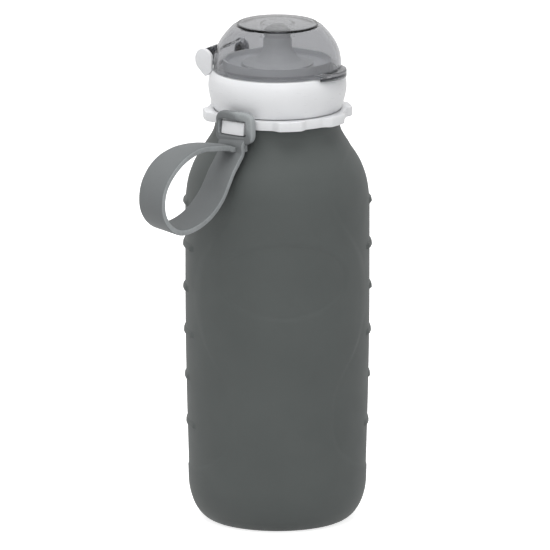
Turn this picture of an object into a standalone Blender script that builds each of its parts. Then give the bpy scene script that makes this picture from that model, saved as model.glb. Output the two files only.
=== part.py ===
"""A soft silicone squeeze bottle: screw cap, spill valve, drinking spout, hinged dome lid and carry strap.

Metres, +Z up. The origin is the middle of the base, the plain oval field faces -Y, and every turned
piece shares the Z axis. The lid's tab and hinge lie on one line across the cap, at LID_ANGLE.
"""
import math

import bmesh
import bpy
from mathutils import Matrix, Vector

for old in list(bpy.data.objects):
    bpy.data.objects.remove(old, do_unlink=True)

# Running gap between pieces that touch, weld distance of doubled points, and overrun of every cut
CLEARANCE = 0.0003
WELD = 0.00001
OVERRUN = 0.003
SHARP_ANGLE = math.radians(35)

# Counts of facets
BODY_STEPS = 48
CAP_STEPS = 48
DOME_STEPS = 48
SMALL_STEPS = 32
PIN_STEPS = 12

# Bottle body: a squeeze wall of even thickness, on a foot with an elliptical corner
BODY_RADIUS = 0.036
BODY_WALL = 0.0022
BASE_WALL = 0.0030
FOOT_TAPER = 0.0012
FOOT_RADIUS = BODY_RADIUS - FOOT_TAPER
FOOT_CORNER_WIDTH = 0.0105
FOOT_CORNER_HEIGHT = 0.0170
LIP_HEIGHT = 0.1624
NECK_LENGTH = 0.0054
NECK_BASE = LIP_HEIGHT - NECK_LENGTH
SHOULDER_RISE = 0.0320
SHOULDER_BASE = NECK_BASE - SHOULDER_RISE
TAPER_TOP_SHARE = 0.752
TAPER_TOP = SHOULDER_BASE * TAPER_TOP_SHARE
NECK_RADIUS = 0.0244
NECK_WALL = 0.0024
SHOULDER_SHARES = ((0.0, 1.0), (0.12, 0.987), (0.22, 0.957), (0.32, 0.913), (0.42, 0.838), (0.53, 0.722),
                   (0.63, 0.574), (0.73, 0.391), (0.83, 0.209), (0.92, 0.072), (1.0, 0.0))

# Grip panels on both sides, cut as side-view outlines, and the bare oval field at the front
PANEL_DEPTH = 0.0004
PANEL_BASE = 0.0212
PANEL_OVERLAP = 0.0244
PANEL_HEIGHT = SHOULDER_BASE + PANEL_OVERLAP - PANEL_BASE
PANEL_WIDTH_SHARE = 0.839
PANEL_HALF_WIDTH = BODY_RADIUS * PANEL_WIDTH_SHARE
PANEL_SHARES = ((0.0, 0.0), (0.008, 0.32), (0.033, 0.66), (0.075, 0.88), (0.135, 0.98), (0.20, 1.0),
                (0.262, 0.985), (0.31, 0.93), (0.345, 0.86), (0.377, 0.77), (0.44, 0.62), (0.52, 0.52),
                (0.60, 0.52), (0.67, 0.61), (0.74, 0.79), (0.79, 0.92), (0.845, 0.997), (0.884, 0.97),
                (0.911, 0.935), (0.935, 0.87), (0.967, 0.655), (0.99, 0.38), (1.0, 0.0))
PANEL_STEPS = 1
FIELD_HALF_WIDTH = 0.0250
FIELD_HALF_HEIGHT = 0.0150
FIELD_DROP = 0.0230
FIELD_CENTRE = SHOULDER_BASE - FIELD_DROP
FIELD_POINTS = 32

# Finger ribs across the grip panels, short and long in turn
RIB_FIRST_SHARE = 0.1537
RIB_FIRST = PANEL_BASE + PANEL_HEIGHT * RIB_FIRST_SHARE
RIB_PITCH_SHARE = 0.1342
RIB_PITCH = PANEL_HEIGHT * RIB_PITCH_SHARE
RIB_COUNT = 6
RIB_HALF_HEIGHT = 0.0011
RIB_PROUD = 0.0006
RIB_LONG = math.radians(18.5)
RIB_SHORT = math.radians(9.0)
RIB_POINTS = 6
RIB_END_SHARE = 0.5
RIB_NOSE_SHARE = 0.8
RIB_STEP_ANGLE = math.radians(7.5)

# Hard neck insert: a barbed sleeve in the silicone neck, a flange on its lip, and the screw neck above
INSERT_WALL = 0.0023
INSERT_DEPTH = 0.0092
INSERT_FLANGE = 0.0014
BARB_PROUD = 0.0005
BARB_PITCH = 0.0026
BARB_COUNT = 2
SCREW_NECK_INSET = 0.0028
SCREW_NECK_RADIUS = NECK_RADIUS - SCREW_NECK_INSET
SCREW_NECK_HEIGHT = 0.0110

# Gear ring: clamps the neck, with grip teeth, one of them deeper to carry the strap
RING_DROP = 0.0020
RING_BASE = LIP_HEIGHT - RING_DROP
RING_HEIGHT = RING_DROP + CLEARANCE + INSERT_FLANGE
RING_BAND = 0.0026
RING_NOTCH_RADIUS = NECK_RADIUS + RING_BAND
TOOTH_DEPTH = 0.0022
RING_TIP_RADIUS = RING_NOTCH_RADIUS + TOOTH_DEPTH
RING_TEETH = 8
TOOTH_HALF_ANGLE = math.radians(11.5)
TOOTH_FLANK_ANGLE = math.radians(8.0)
LUG_DROP = 0.0018
LUG_ANGLE = math.radians(231)
LUG_INNER_SHARE = 0.67
LUG_WIDTH_SHARE = 0.95
FLANK_SHARES = (0.0, 0.12, 0.5, 0.88, 1.0)
TIP_SHARES = (-0.4, 0.0, 0.4)

# Screw cap
CAP_GAP = 0.0003
CAP_HEIGHT = 0.0147
THREAD_ROOM = 0.0016
CAP_BORE = SCREW_NECK_RADIUS + THREAD_ROOM
CAP_WALL = 0.0020
CAP_FOOT_RADIUS = CAP_BORE + CAP_WALL
CAP_FLARE = 0.0018
CAP_RADIUS = CAP_FOOT_RADIUS + CAP_FLARE
CAP_SHARES = ((0.0, -0.15), (0.03, 0.0), (0.12, 0.25), (0.22, 0.50), (0.39, 0.83), (0.55, 1.0),
              (0.70, 0.97), (0.84, 0.74), (0.93, 0.42), (0.98, 0.16), (1.0, 0.0))
LIP_INSET = 0.0058
LIP_RADIUS = CAP_RADIUS - LIP_INSET
LIP_WALL = 0.0009
LIP_RISE = 0.0045
DISH_DEPTH = 0.0022
DISH_PLATE = 0.0020
SEAL_LAND_DROP = 0.0019
SEAL_LAND_WIDTH = 0.0036
SEAL_LAND_RADIUS = CAP_BORE - SEAL_LAND_WIDTH
SPOUT_HOLE = 0.0088
BOSS_STEP = 0.0020
BOSS_BORE = SPOUT_HOLE + BOSS_STEP
BOSS_WALL = 0.0015
BOSS_DROP = 0.0039
NUB_ANGLE = math.radians(205)
NUB_LENGTH = 0.0036
NUB_WIDTH = 0.0014
NUB_RISE = 0.0009
GASKET_HEIGHT = 0.0018
GASKET_WIDTH = 0.0024

# Drinking spout, buttoned through the cap, and the slit valve under it
SPOUT_TIP_RADIUS = 0.0046
SPOUT_WAIST_RADIUS = 0.0055
SPOUT_SKIRT = 0.0052
SPOUT_FLARE_RADIUS = SPOUT_HOLE + SPOUT_SKIRT
SPOUT_HEADROOM = 0.0006
SPOUT_BORE = 0.0031
SPOUT_INLET = 0.0056
SPOUT_FLANGE_HEIGHT = 0.0012
SPOUT_STEM_SHARE = 0.68
FLARE_SHARES = ((0.02, 1.0), (0.036, 0.72), (0.09, 0.46), (0.157, 0.32), (0.235, 0.21), (0.362, 0.07),
                (0.50, 0.0))
VALVE_HEIGHT = 0.0016
VALVE_SLIT = 0.0005
VALVE_SLIT_LENGTH = 0.0070

# Dome lid: a turned shell with a flat top, a thumb tab and a hinge knuckle
LID_ANGLE = math.radians(-34)
DOME_INSET = 0.0020
DOME_RADIUS = CAP_RADIUS - DOME_INSET
DOME_SLOPE = 0.0084
DOME_TOP_RADIUS = DOME_RADIUS - DOME_SLOPE
DOME_HEIGHT = 0.0184
DOME_WALL = 0.0014
DOME_SHARES = ((0.0, 1.0), (0.114, 0.988), (0.234, 0.964), (0.321, 0.929), (0.408, 0.881), (0.495, 0.804),
               (0.582, 0.696), (0.668, 0.577), (0.777, 0.429), (0.864, 0.268), (0.929, 0.142), (0.967, 0.06),
               (0.969, 0.005), (1.0, 0.0))
SOCKET_ROOM = 0.0011
SOCKET_BORE = SPOUT_TIP_RADIUS + SOCKET_ROOM
SOCKET_WALL = 0.0011
SOCKET_DROP = 0.0030
TAB_REACH = 0.0042
TAB_HALF_ANGLE = math.radians(28)
TAB_HEIGHT = 0.0020
TAB_POINTS = 14
TAB_ROUND_SHARE = 0.8
HINGE_OUTSET = 0.0004
HINGE_REACH = DOME_RADIUS + HINGE_OUTSET
HINGE_RISE = 0.0041
BARREL_RADIUS = 0.0036
EAR_WIDTH = 0.0030
EAR_RADIUS = 0.0035
EAR_RISE = 0.0042
EAR_STEP_RADIUS = 0.0031
EAR_STEP_WIDTH = 0.0018
EAR_BITE_SHARE = 0.7
EAR_BACK = HINGE_REACH - EAR_RADIUS * EAR_BITE_SHARE
BARREL_HALF_LENGTH = math.sqrt(CAP_RADIUS ** 2 - EAR_BACK ** 2) - EAR_WIDTH
EAR_ROOT_DROP = 0.0069
TRUNNION_RADIUS = 0.0014
TRUNNION_LENGTH = 0.0022
WEB_SHARES = ((1.78, 1.64), (0.64, 1.33), (0.0, 1.0), (0.0, 0.0), (1.78, 0.0))
EAR_TURNS = tuple(math.radians(turn) for turn in range(0, 151, 15))
EAR_ROOT_SHARES = ((-0.83, -0.17), (-0.83, -0.60), (-0.62, -0.80), (-0.30, -1.0), (0.10, -0.82),
                   (0.50, -0.60), (0.88, -0.36), (1.0, -0.16))
EAR_STEP_TURNS = tuple(math.radians(turn) for turn in range(0, 181, 15))
EAR_STEP_SHARES = ((-1, 0), (-2, 0), (-2, 2), (2, 2), (2, 0), (1, 0))

# Carry strap: an eyelet round the lug, a wide band in a drop-shaped loop that hangs a little twisted from
# it, and a tail back through the stem
STRAP_WIDTH = 0.0120
STRAP_THICKNESS = 0.0023
TAIL_WIDTH = 0.0072
SLOT_WIDTH = 0.0080
SLOT_HEIGHT = 0.0032
EDGE_SHARE = 0.5
FLAT_SHARE = 0.7
TAIL_TURN_SHARE = 0.8
BUTTON_SHARE = 0.75
BUTTON_WIDTH = 0.0096
BUTTON_THICKNESS = 0.0032
EYELET_BAR = 0.0016
EYELET_HALF_DEPTH = 0.0018
SIDE_BAR_SHARE = 0.75
EYELET_CORNER = 0.0024
EYELET_POINTS = 4
BAR_POINTS = 6
LOOP_YAW = math.radians(-6)
LOOP_REACH = 0.0476
LOOP_DROP = 0.0310
LOOP_STANDOFF = 0.0024
LEAN_SHARE = 0.76
LOOP_SHARES = ((-0.013, 0.25), (0.007, 0.37), (-0.002, 0.5), (-0.008, 0.64), (0.022, 0.76), (0.127, 0.85),
               (0.267, 0.92), (0.427, 0.955), (0.567, 0.945), (0.687, 0.85), (0.767, 0.7), (0.83, 0.54),
               (0.858, 0.38), (0.833, 0.26), (0.765, 0.165), (0.658, 0.095), (0.523, 0.05))
NARROW_SHARES = ((0.429, 0.032), (0.31, 0.03), (0.203, 0.05), (0.092, 0.085))
STRAP_STEPS = 2

# Heights that follow from the sizes above
BORE_RADIUS = NECK_RADIUS - NECK_WALL
RING_TOP = RING_BASE + RING_HEIGHT
CAP_BASE = RING_TOP + CAP_GAP
DECK = CAP_BASE + CAP_HEIGHT
LIP_TOP = DECK + LIP_RISE
DISH_FLOOR = LIP_TOP - DISH_DEPTH
PLATE_UNDERSIDE = DISH_FLOOR - DISH_PLATE
SEAL_LAND = PLATE_UNDERSIDE - SEAL_LAND_DROP
DOME_BASE = DECK + CLEARANCE
DOME_TOP = DOME_BASE + DOME_HEIGHT
HINGE_HEIGHT = DECK + HINGE_RISE
SPOUT_TOP = DOME_TOP - DOME_WALL - SPOUT_HEADROOM
SPOUT_HEIGHT = SPOUT_TOP - DISH_FLOOR - CLEARANCE


def srgb(red, green, blue):
    """Linear colour of an 8-bit display colour."""
    def linear(value):
        share = value / 255
        return share / 12.92 if share <= 0.04045 else ((share + 0.055) / 1.055) ** 2.4
    return (linear(red), linear(green), linear(blue), 1)


def material(name, colour, roughness, alpha=1):
    made = bpy.data.materials.new(name)
    made.use_nodes = True
    shader = made.node_tree.nodes["Principled BSDF"]
    shader.inputs["Base Color"].default_value = colour
    shader.inputs["Roughness"].default_value = roughness
    shader.inputs["Metallic"].default_value = 0
    shader.inputs["Alpha"].default_value = alpha
    made.diffuse_color = colour[:3] + (alpha,)
    return made


def add(name, bm, made_of=None):
    """Turn a bmesh into an object. One with no material is a cutter or a guide."""
    bmesh.ops.remove_doubles(bm, verts=bm.verts, dist=WELD)
    bmesh.ops.recalc_face_normals(bm, faces=bm.faces)
    mesh = bpy.data.meshes.new(name)
    bm.to_mesh(mesh)
    bm.free()
    piece = bpy.data.objects.new(name, mesh)
    bpy.context.scene.collection.objects.link(piece)
    if made_of is None:
        piece.hide_render = True
        piece.display_type = "WIRE"
    else:
        mesh.materials.append(made_of)
        mesh.shade_smooth()
        mesh.set_sharp_from_angle(angle=SHARP_ANGLE)
    return piece


def combine(piece, operation, other):
    cut = piece.modifiers.new(operation.lower(), "BOOLEAN")
    cut.operation = operation
    cut.object = other


def turned(points, steps, closed=True):
    """Spin a profile of (radius, height) points round Z. An open one starts and ends on the axis."""
    bm = bmesh.new()
    verts = [bm.verts.new((radius, 0, height)) for radius, height in points]
    edges = [bm.edges.new(pair) for pair in zip(verts, verts[1:])]
    if closed:
        edges.append(bm.edges.new((verts[-1], verts[0])))
    bmesh.ops.spin(bm, geom=verts + edges, axis=(0, 0, 1), cent=(0, 0, 0), angle=math.tau, steps=steps,
                   use_merge=True)
    bmesh.ops.remove_doubles(bm, verts=bm.verts, dist=WELD)
    return bm


def prism(bm, corners, direction):
    """Extrude a flat outline of 3-D corners along a direction."""
    face = bm.faces.new([bm.verts.new(corner) for corner in corners])
    grown = bmesh.ops.extrude_face_region(bm, geom=[face])
    moved = [item for item in grown["geom"] if isinstance(item, bmesh.types.BMVert)]
    bmesh.ops.translate(bm, vec=direction, verts=moved)
    bmesh.ops.recalc_face_normals(bm, faces=bm.faces)


def rod(bm, radius, centre, direction, length, steps=PIN_STEPS):
    """Add a closed cylinder that starts at centre and runs along direction."""
    turn = Vector((0, 0, 1)).rotation_difference(Vector(direction)).to_matrix().to_4x4()
    place = Matrix.Translation(Vector(centre) + Vector(direction) * length / 2) @ turn
    bmesh.ops.create_cone(bm, cap_ends=True, segments=steps, radius1=radius, radius2=radius, depth=length,
                          matrix=place)


def smoothed(points, parts):
    """Points of a smooth curve through the given ones, with parts to each stretch."""
    points = [Vector(point) for point in points]
    ends = [points[0] * 2 - points[1]] + points + [points[-1] * 2 - points[-2]]
    curve = []
    for before, start, stop, after in zip(ends, ends[1:], ends[2:], ends[3:]):
        for part in range(parts):
            share = part / parts
            square, cube = share ** 2, share ** 3
            bend = before * 2 - start * 5 + stop * 4 - after
            twist = start * 3 - before - stop * 3 + after
            curve.append((start * 2 + (stop - before) * share + bend * square + twist * cube) / 2)
    return curve + [points[-1]]


def polar(radius, angle, height=0):
    return Vector((radius * math.cos(angle), radius * math.sin(angle), height))


# Bottle body

def foot_points(radius, width, corner_height, base):
    """The elliptical corner from the flat base out to the foot radius."""
    count = 5
    turns = [math.pi / 2 * step / count for step in range(count + 1)]
    return [(radius - width + width * math.sin(turn), base + corner_height - corner_height * math.cos(turn))
            for turn in turns]


def taper_radius(height):
    share = min(1, (height - FOOT_CORNER_HEIGHT) / (TAPER_TOP - FOOT_CORNER_HEIGHT))
    return FOOT_RADIUS + (BODY_RADIUS - FOOT_RADIUS) * math.sin(math.pi / 2 * share)


def side_points(inset):
    """The wall from above the foot to the top of the shoulder, moved in by inset."""
    count = 6
    stretch = TAPER_TOP - FOOT_CORNER_HEIGHT
    levels = [FOOT_CORNER_HEIGHT + stretch * step / count for step in range(1, count + 1)]
    rows = [(taper_radius(height) - inset, height) for height in levels]
    spread = BODY_RADIUS - NECK_RADIUS
    return rows + [(NECK_RADIUS + spread * out - inset, SHOULDER_BASE + SHOULDER_RISE * up)
                   for up, out in SHOULDER_SHARES]


def body_profile(inset):
    rows = [(0, inset)]
    rows += foot_points(FOOT_RADIUS - inset, FOOT_CORNER_WIDTH, FOOT_CORNER_HEIGHT - inset, inset)
    rows += side_points(inset)
    return rows + [(NECK_RADIUS - inset, LIP_HEIGHT), (0, LIP_HEIGHT)]


def barbed(radius):
    """Rows of a barbed stretch under the lip, the same on the insert and in the bore."""
    rows = []
    for barb in range(BARB_COUNT):
        top = LIP_HEIGHT - BARB_PITCH / 2 - BARB_PITCH * barb
        rows += [(radius, top), (radius + BARB_PROUD, top - BARB_PROUD), (radius, top - BARB_PITCH / 2)]
    return rows


def cavity_profile():
    width = FOOT_CORNER_WIDTH - BODY_WALL / 2
    rows = [(0, BASE_WALL)]
    rows += foot_points(FOOT_RADIUS - BODY_WALL, width, FOOT_CORNER_HEIGHT - BASE_WALL, BASE_WALL)[::2]
    rows += [row for row in side_points(BODY_WALL) if row[0] > BORE_RADIUS + WELD][1::2]
    rows += [(BORE_RADIUS, NECK_BASE - NECK_WALL / 2)]
    rows += [row for row in reversed(barbed(BORE_RADIUS))]
    return rows + [(BORE_RADIUS, LIP_HEIGHT + OVERRUN), (0, LIP_HEIGHT + OVERRUN)]


def outer_radius(height):
    """Radius of the body's outside at a height between the foot and the shoulder."""
    rows = side_points(0)
    for (radius_a, height_a), (radius_b, height_b) in zip(rows, rows[1:]):
        if height_a <= height <= height_b:
            return radius_a + (radius_b - radius_a) * (height - height_a) / (height_b - height_a)
    return rows[0][0]


def panel_tool():
    """Side-view hourglass prisms and the front oval, less the core that their floors follow."""
    bm = bmesh.new()
    reach = BODY_RADIUS + OVERRUN
    shares = [(0, out * PANEL_HALF_WIDTH, PANEL_BASE + up * PANEL_HEIGHT) for up, out in PANEL_SHARES]
    outline = smoothed(shares, PANEL_STEPS)
    mirrored = [Vector((0, -point.y, point.z)) for point in reversed(outline[1:-1])]
    corners = [Vector((-reach, point.y, point.z)) for point in outline + mirrored]
    prism(bm, corners, (reach * 2, 0, 0))
    turns = [math.tau * step / FIELD_POINTS for step in range(FIELD_POINTS)]
    oval = [(FIELD_HALF_WIDTH * math.cos(turn), -reach, FIELD_CENTRE + FIELD_HALF_HEIGHT * math.sin(turn))
            for turn in turns]
    prism(bm, oval, (0, reach, 0))
    tool = add("panel_tool", bm)
    core = turned(body_profile(PANEL_DEPTH), BODY_STEPS, closed=False)
    combine(tool, "DIFFERENCE", add("panel_core", core))
    return tool


def rib_tool():
    """Finger ribs as round bars spun along the wall, with drawn-in ends."""
    bm = bmesh.new()
    for row in range(RIB_COUNT):
        height = RIB_FIRST + RIB_PITCH * row
        half_angle = RIB_SHORT if row % 2 else RIB_LONG
        radius = outer_radius(height) + RIB_PROUD - RIB_HALF_HEIGHT
        steps = max(2, round(2 * half_angle / RIB_STEP_ANGLE))
        for side in (0, math.pi):
            start = Matrix.Rotation(side - half_angle, 4, "Z")
            place = start @ Matrix.Translation((radius, 0, height)) @ Matrix.Rotation(math.pi / 2, 4, "X")
            section = bmesh.ops.create_circle(bm, cap_ends=True, segments=RIB_POINTS, radius=RIB_HALF_HEIGHT,
                                              matrix=place)
            face = section["verts"][0].link_faces[0]
            spun = bmesh.ops.spin(bm, geom=[face], axis=(0, 0, 1), cent=(0, 0, 0), angle=2 * half_angle,
                                  steps=steps)
            last = [item for item in spun["geom_last"] if isinstance(item, bmesh.types.BMFace)][0]
            for end, way in ((face, -1), (last, 1)):
                middle = end.calc_center_median()
                nose = Vector((0, 0, 1)).cross(middle).normalized() * way * RIB_HALF_HEIGHT
                grown = bmesh.ops.extrude_discrete_faces(bm, faces=[end])["faces"][0]
                bmesh.ops.scale(bm, vec=(RIB_END_SHARE,) * 3, verts=grown.verts,
                                space=Matrix.Translation(-grown.calc_center_median()))
                bmesh.ops.translate(bm, vec=nose * RIB_NOSE_SHARE, verts=grown.verts)
    return add("rib_tool", bm)


def make_body(made_of):
    body = add("bottle_body", turned(body_profile(0), BODY_STEPS, closed=False), made_of)
    combine(body, "DIFFERENCE", panel_tool())
    combine(body, "UNION", rib_tool())
    combine(body, "DIFFERENCE", add("cavity_tool", turned(cavity_profile(), SMALL_STEPS, closed=False)))


# Neck insert and gear ring

def make_insert(made_of):
    sleeve = BORE_RADIUS - CLEARANCE
    bore = sleeve - INSERT_WALL
    flange_base = LIP_HEIGHT + CLEARANCE
    flange_top = flange_base + INSERT_FLANGE
    neck_top = flange_top + SCREW_NECK_HEIGHT
    foot = LIP_HEIGHT - INSERT_DEPTH
    chamfer = INSERT_WALL / 4
    rows = [(bore, foot), (bore, neck_top - chamfer), (bore + chamfer, neck_top),
            (SCREW_NECK_RADIUS - chamfer, neck_top), (SCREW_NECK_RADIUS, neck_top - chamfer),
            (SCREW_NECK_RADIUS, flange_top), (NECK_RADIUS, flange_top), (NECK_RADIUS, flange_base),
            (sleeve, flange_base)]
    rows += barbed(sleeve) + [(sleeve, foot + chamfer), (sleeve - chamfer, foot)]
    add("neck_insert", turned(rows, SMALL_STEPS), made_of)
    return neck_top


def ring_outline(height):
    """The toothed edge from the lug on: round tips and roots joined by flanks that ease in and out."""
    corners = []
    pitch = math.tau / RING_TEETH
    depth = RING_TIP_RADIUS - RING_NOTCH_RADIUS
    for tooth in range(RING_TEETH):
        middle = LUG_ANGLE + pitch * tooth
        for side in (-1, 1):
            for share in FLANK_SHARES[::-side]:
                spread = TOOTH_HALF_ANGLE + TOOTH_FLANK_ANGLE * (1 / 2 - share)
                radius = RING_NOTCH_RADIUS + depth * (1 - math.cos(math.pi * share)) / 2
                corners.append(polar(radius, middle + side * spread, height))
            if side == -1:
                corners += [polar(RING_TIP_RADIUS, middle + share * TOOTH_HALF_ANGLE, height)
                            for share in TIP_SHARES]
        corners.append(polar(RING_NOTCH_RADIUS, middle + pitch / 2, height))
    return corners


def make_ring(made_of):
    bm = bmesh.new()
    prism(bm, ring_outline(RING_BASE), (0, 0, RING_HEIGHT))
    ring = add("gear_ring", bm, made_of)
    lug = bmesh.new()
    turns = [TOOTH_HALF_ANGLE * LUG_WIDTH_SHARE * (step / 3 - 1) for step in range(7)]
    inner_radius = NECK_RADIUS + (RING_NOTCH_RADIUS - NECK_RADIUS) * LUG_INNER_SHARE
    tip_radius = RING_TIP_RADIUS - CLEARANCE / 3
    lug_foot = RING_BASE - LUG_DROP
    sector = [polar(tip_radius, LUG_ANGLE + turn, lug_foot) for turn in turns]
    sector += [polar(inner_radius, LUG_ANGLE + turn, lug_foot) for turn in reversed(turns[::3])]
    prism(lug, sector, (0, 0, LUG_DROP + RING_HEIGHT / 2))
    combine(ring, "UNION", add("lug_tool", lug))
    bore = bmesh.new()
    rod(bore, NECK_RADIUS + CLEARANCE, (0, 0, lug_foot - OVERRUN), (0, 0, 1),
        LUG_DROP + RING_HEIGHT + OVERRUN * 2, BODY_STEPS)
    combine(ring, "DIFFERENCE", add("ring_bore_tool", bore))


# Screw cap with its seal

def make_cap(made_of):
    spread = CAP_RADIUS - CAP_FOOT_RADIUS
    outside = [(CAP_FOOT_RADIUS + spread * out, CAP_BASE + CAP_HEIGHT * up) for up, out in CAP_SHARES]
    edge = LIP_WALL / 4
    lip_bore = LIP_RADIUS - LIP_WALL
    boss_radius = BOSS_BORE + BOSS_WALL
    boss_foot = PLATE_UNDERSIDE - BOSS_DROP
    rows = outside + [(LIP_RADIUS, DECK), (LIP_RADIUS, LIP_TOP - edge), (LIP_RADIUS - edge, LIP_TOP),
                      (lip_bore + edge, LIP_TOP), (lip_bore, LIP_TOP - edge), (lip_bore - edge, DISH_FLOOR),
                      (SPOUT_HOLE, DISH_FLOOR), (SPOUT_HOLE, PLATE_UNDERSIDE), (BOSS_BORE, PLATE_UNDERSIDE),
                      (BOSS_BORE, boss_foot), (boss_radius, boss_foot), (boss_radius, PLATE_UNDERSIDE),
                      (SEAL_LAND_RADIUS, PLATE_UNDERSIDE), (SEAL_LAND_RADIUS, SEAL_LAND),
                      (CAP_BORE, SEAL_LAND), (CAP_BORE, CAP_BASE)]
    cap = add("cap_shell", turned(rows, CAP_STEPS), made_of)
    cap.rotation_euler = (0, 0, LID_ANGLE)

    reach = BARREL_HALF_LENGTH + CLEARANCE
    ears = bmesh.new()
    holes = bmesh.new()
    lobe = [(EAR_RADIUS * math.cos(turn), EAR_RISE * math.sin(turn)) for turn in EAR_TURNS]
    lobe += [(EAR_RADIUS * out, EAR_ROOT_DROP * up) for out, up in EAR_ROOT_SHARES]
    for side in (-1, 1):
        inner_face = side * reach
        outline = [(-HINGE_REACH - out, inner_face, HINGE_HEIGHT + up) for out, up in lobe]
        prism(ears, outline, (0, side * EAR_WIDTH, 0))
        rod(holes, TRUNNION_RADIUS + CLEARANCE, (-HINGE_REACH, inner_face - side * CLEARANCE, HINGE_HEIGHT),
            (0, side, 0), TRUNNION_LENGTH + CLEARANCE * 2)
    combine(cap, "UNION", guide("ear_tool", ears))
    # The lid's wall swings past the inner half of each ear, which is cut lower there
    step = [(EAR_STEP_RADIUS * math.cos(turn), EAR_STEP_RADIUS * math.sin(turn)) for turn in EAR_STEP_TURNS]
    step += [(EAR_STEP_RADIUS * out, EAR_STEP_RADIUS * up - CLEARANCE) for out, up in EAR_STEP_SHARES]
    steps = bmesh.new()
    for side in (-1, 1):
        outline = [(-HINGE_REACH - out, side * BARREL_HALF_LENGTH, HINGE_HEIGHT + up) for out, up in step]
        prism(steps, outline, (0, side * (CLEARANCE + EAR_STEP_WIDTH), 0))
    combine(cap, "DIFFERENCE", guide("ear_step_tool", steps))
    combine(cap, "DIFFERENCE", guide("trunnion_hole_tool", holes))

    nub = bmesh.new()
    gutter = (LIP_RADIUS + DOME_RADIUS - DOME_WALL) / 2
    centre = polar(gutter, NUB_ANGLE - LID_ANGLE, DECK)
    place = Matrix.Translation(centre) @ Matrix.Rotation(NUB_ANGLE - LID_ANGLE, 4, "Z")
    rod(nub, 1, (0, 0, -1), (0, 0, 1), 2, PIN_STEPS)
    bmesh.ops.transform(nub, matrix=place @ Matrix.Diagonal((NUB_WIDTH / 2, NUB_LENGTH / 2, NUB_RISE, 1)),
                        verts=nub.verts)
    combine(cap, "UNION", guide("nub_tool", nub))


def guide(name, bm):
    """A cutter that is drawn in the lid's own direction and turned with the cap or the lid."""
    tool = add(name, bm)
    tool.rotation_euler = (0, 0, LID_ANGLE)
    return tool


def make_gasket(neck_top, made_of):
    low = neck_top + CLEARANCE
    high = min(low + GASKET_HEIGHT, SEAL_LAND - CLEARANCE)
    inner = (SEAL_LAND_RADIUS + SCREW_NECK_RADIUS - GASKET_WIDTH) / 2
    rows = [(inner, low), (inner, high), (inner + GASKET_WIDTH, high), (inner + GASKET_WIDTH, low)]
    add("cap_gasket", turned(rows, SMALL_STEPS), made_of)


# Spout and slit valve

def make_spout(made_of):
    seat = DISH_FLOOR + CLEARANCE
    groove = SPOUT_HOLE - CLEARANCE
    flange = BOSS_BORE - CLEARANCE
    flange_top = PLATE_UNDERSIDE - CLEARANCE
    foot = flange_top - SPOUT_FLANGE_HEIGHT
    spread = SPOUT_FLARE_RADIUS - SPOUT_WAIST_RADIUS
    edge = SPOUT_TIP_RADIUS - SPOUT_BORE
    flare = [(SPOUT_WAIST_RADIUS + spread * out, seat + SPOUT_HEIGHT * up) for up, out in FLARE_SHARES]
    rows = [(SPOUT_FLARE_RADIUS, seat)] + flare
    rows += [(SPOUT_WAIST_RADIUS, seat + SPOUT_HEIGHT * SPOUT_STEM_SHARE),
             (SPOUT_TIP_RADIUS + edge / 4, SPOUT_TOP - edge),
             (SPOUT_TIP_RADIUS - edge / 4, SPOUT_TOP - edge / 5), (SPOUT_TIP_RADIUS - edge / 2, SPOUT_TOP),
             (SPOUT_BORE + edge / 5, SPOUT_TOP), (SPOUT_BORE, SPOUT_TOP - edge / 5),
             (SPOUT_BORE, seat + SPOUT_HEIGHT / 2), (SPOUT_INLET, seat), (SPOUT_INLET, foot), (flange, foot),
             (flange, flange_top), (groove, flange_top), (groove, seat)]
    add("spout", turned(rows, SMALL_STEPS), made_of)
    return foot


def make_valve(spout_foot, made_of):
    radius = BOSS_BORE - CLEARANCE
    high = spout_foot - CLEARANCE
    low = high - VALVE_HEIGHT
    step = VALVE_HEIGHT / 3
    rim = radius - VALVE_HEIGHT
    rows = [(0, low + step), (rim, low + step), (rim, low), (radius, low), (radius, high), (rim, high),
            (rim, high - step), (0, high - step)]
    valve = add("spill_valve", turned(rows, SMALL_STEPS, closed=False), made_of)
    slit = bmesh.new()
    long_way = VALVE_SLIT_LENGTH / 2
    thin = VALVE_SLIT / 2
    cross = [(long_way, -thin), (long_way, thin), (thin, thin), (thin, long_way), (-thin, long_way),
             (-thin, thin), (-long_way, thin), (-long_way, -thin), (-thin, -thin), (-thin, -long_way),
             (thin, -long_way), (thin, -thin)]
    prism(slit, [(x, y, low - OVERRUN) for x, y in cross], (0, 0, VALVE_HEIGHT + OVERRUN * 2))
    combine(valve, "DIFFERENCE", add("slit_tool", slit))


# Dome lid

def dome_rows(inset):
    spread = DOME_RADIUS - DOME_TOP_RADIUS
    return [(DOME_TOP_RADIUS + spread * out - inset, DOME_BASE + (DOME_HEIGHT - inset) * up)
            for up, out in DOME_SHARES]


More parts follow.
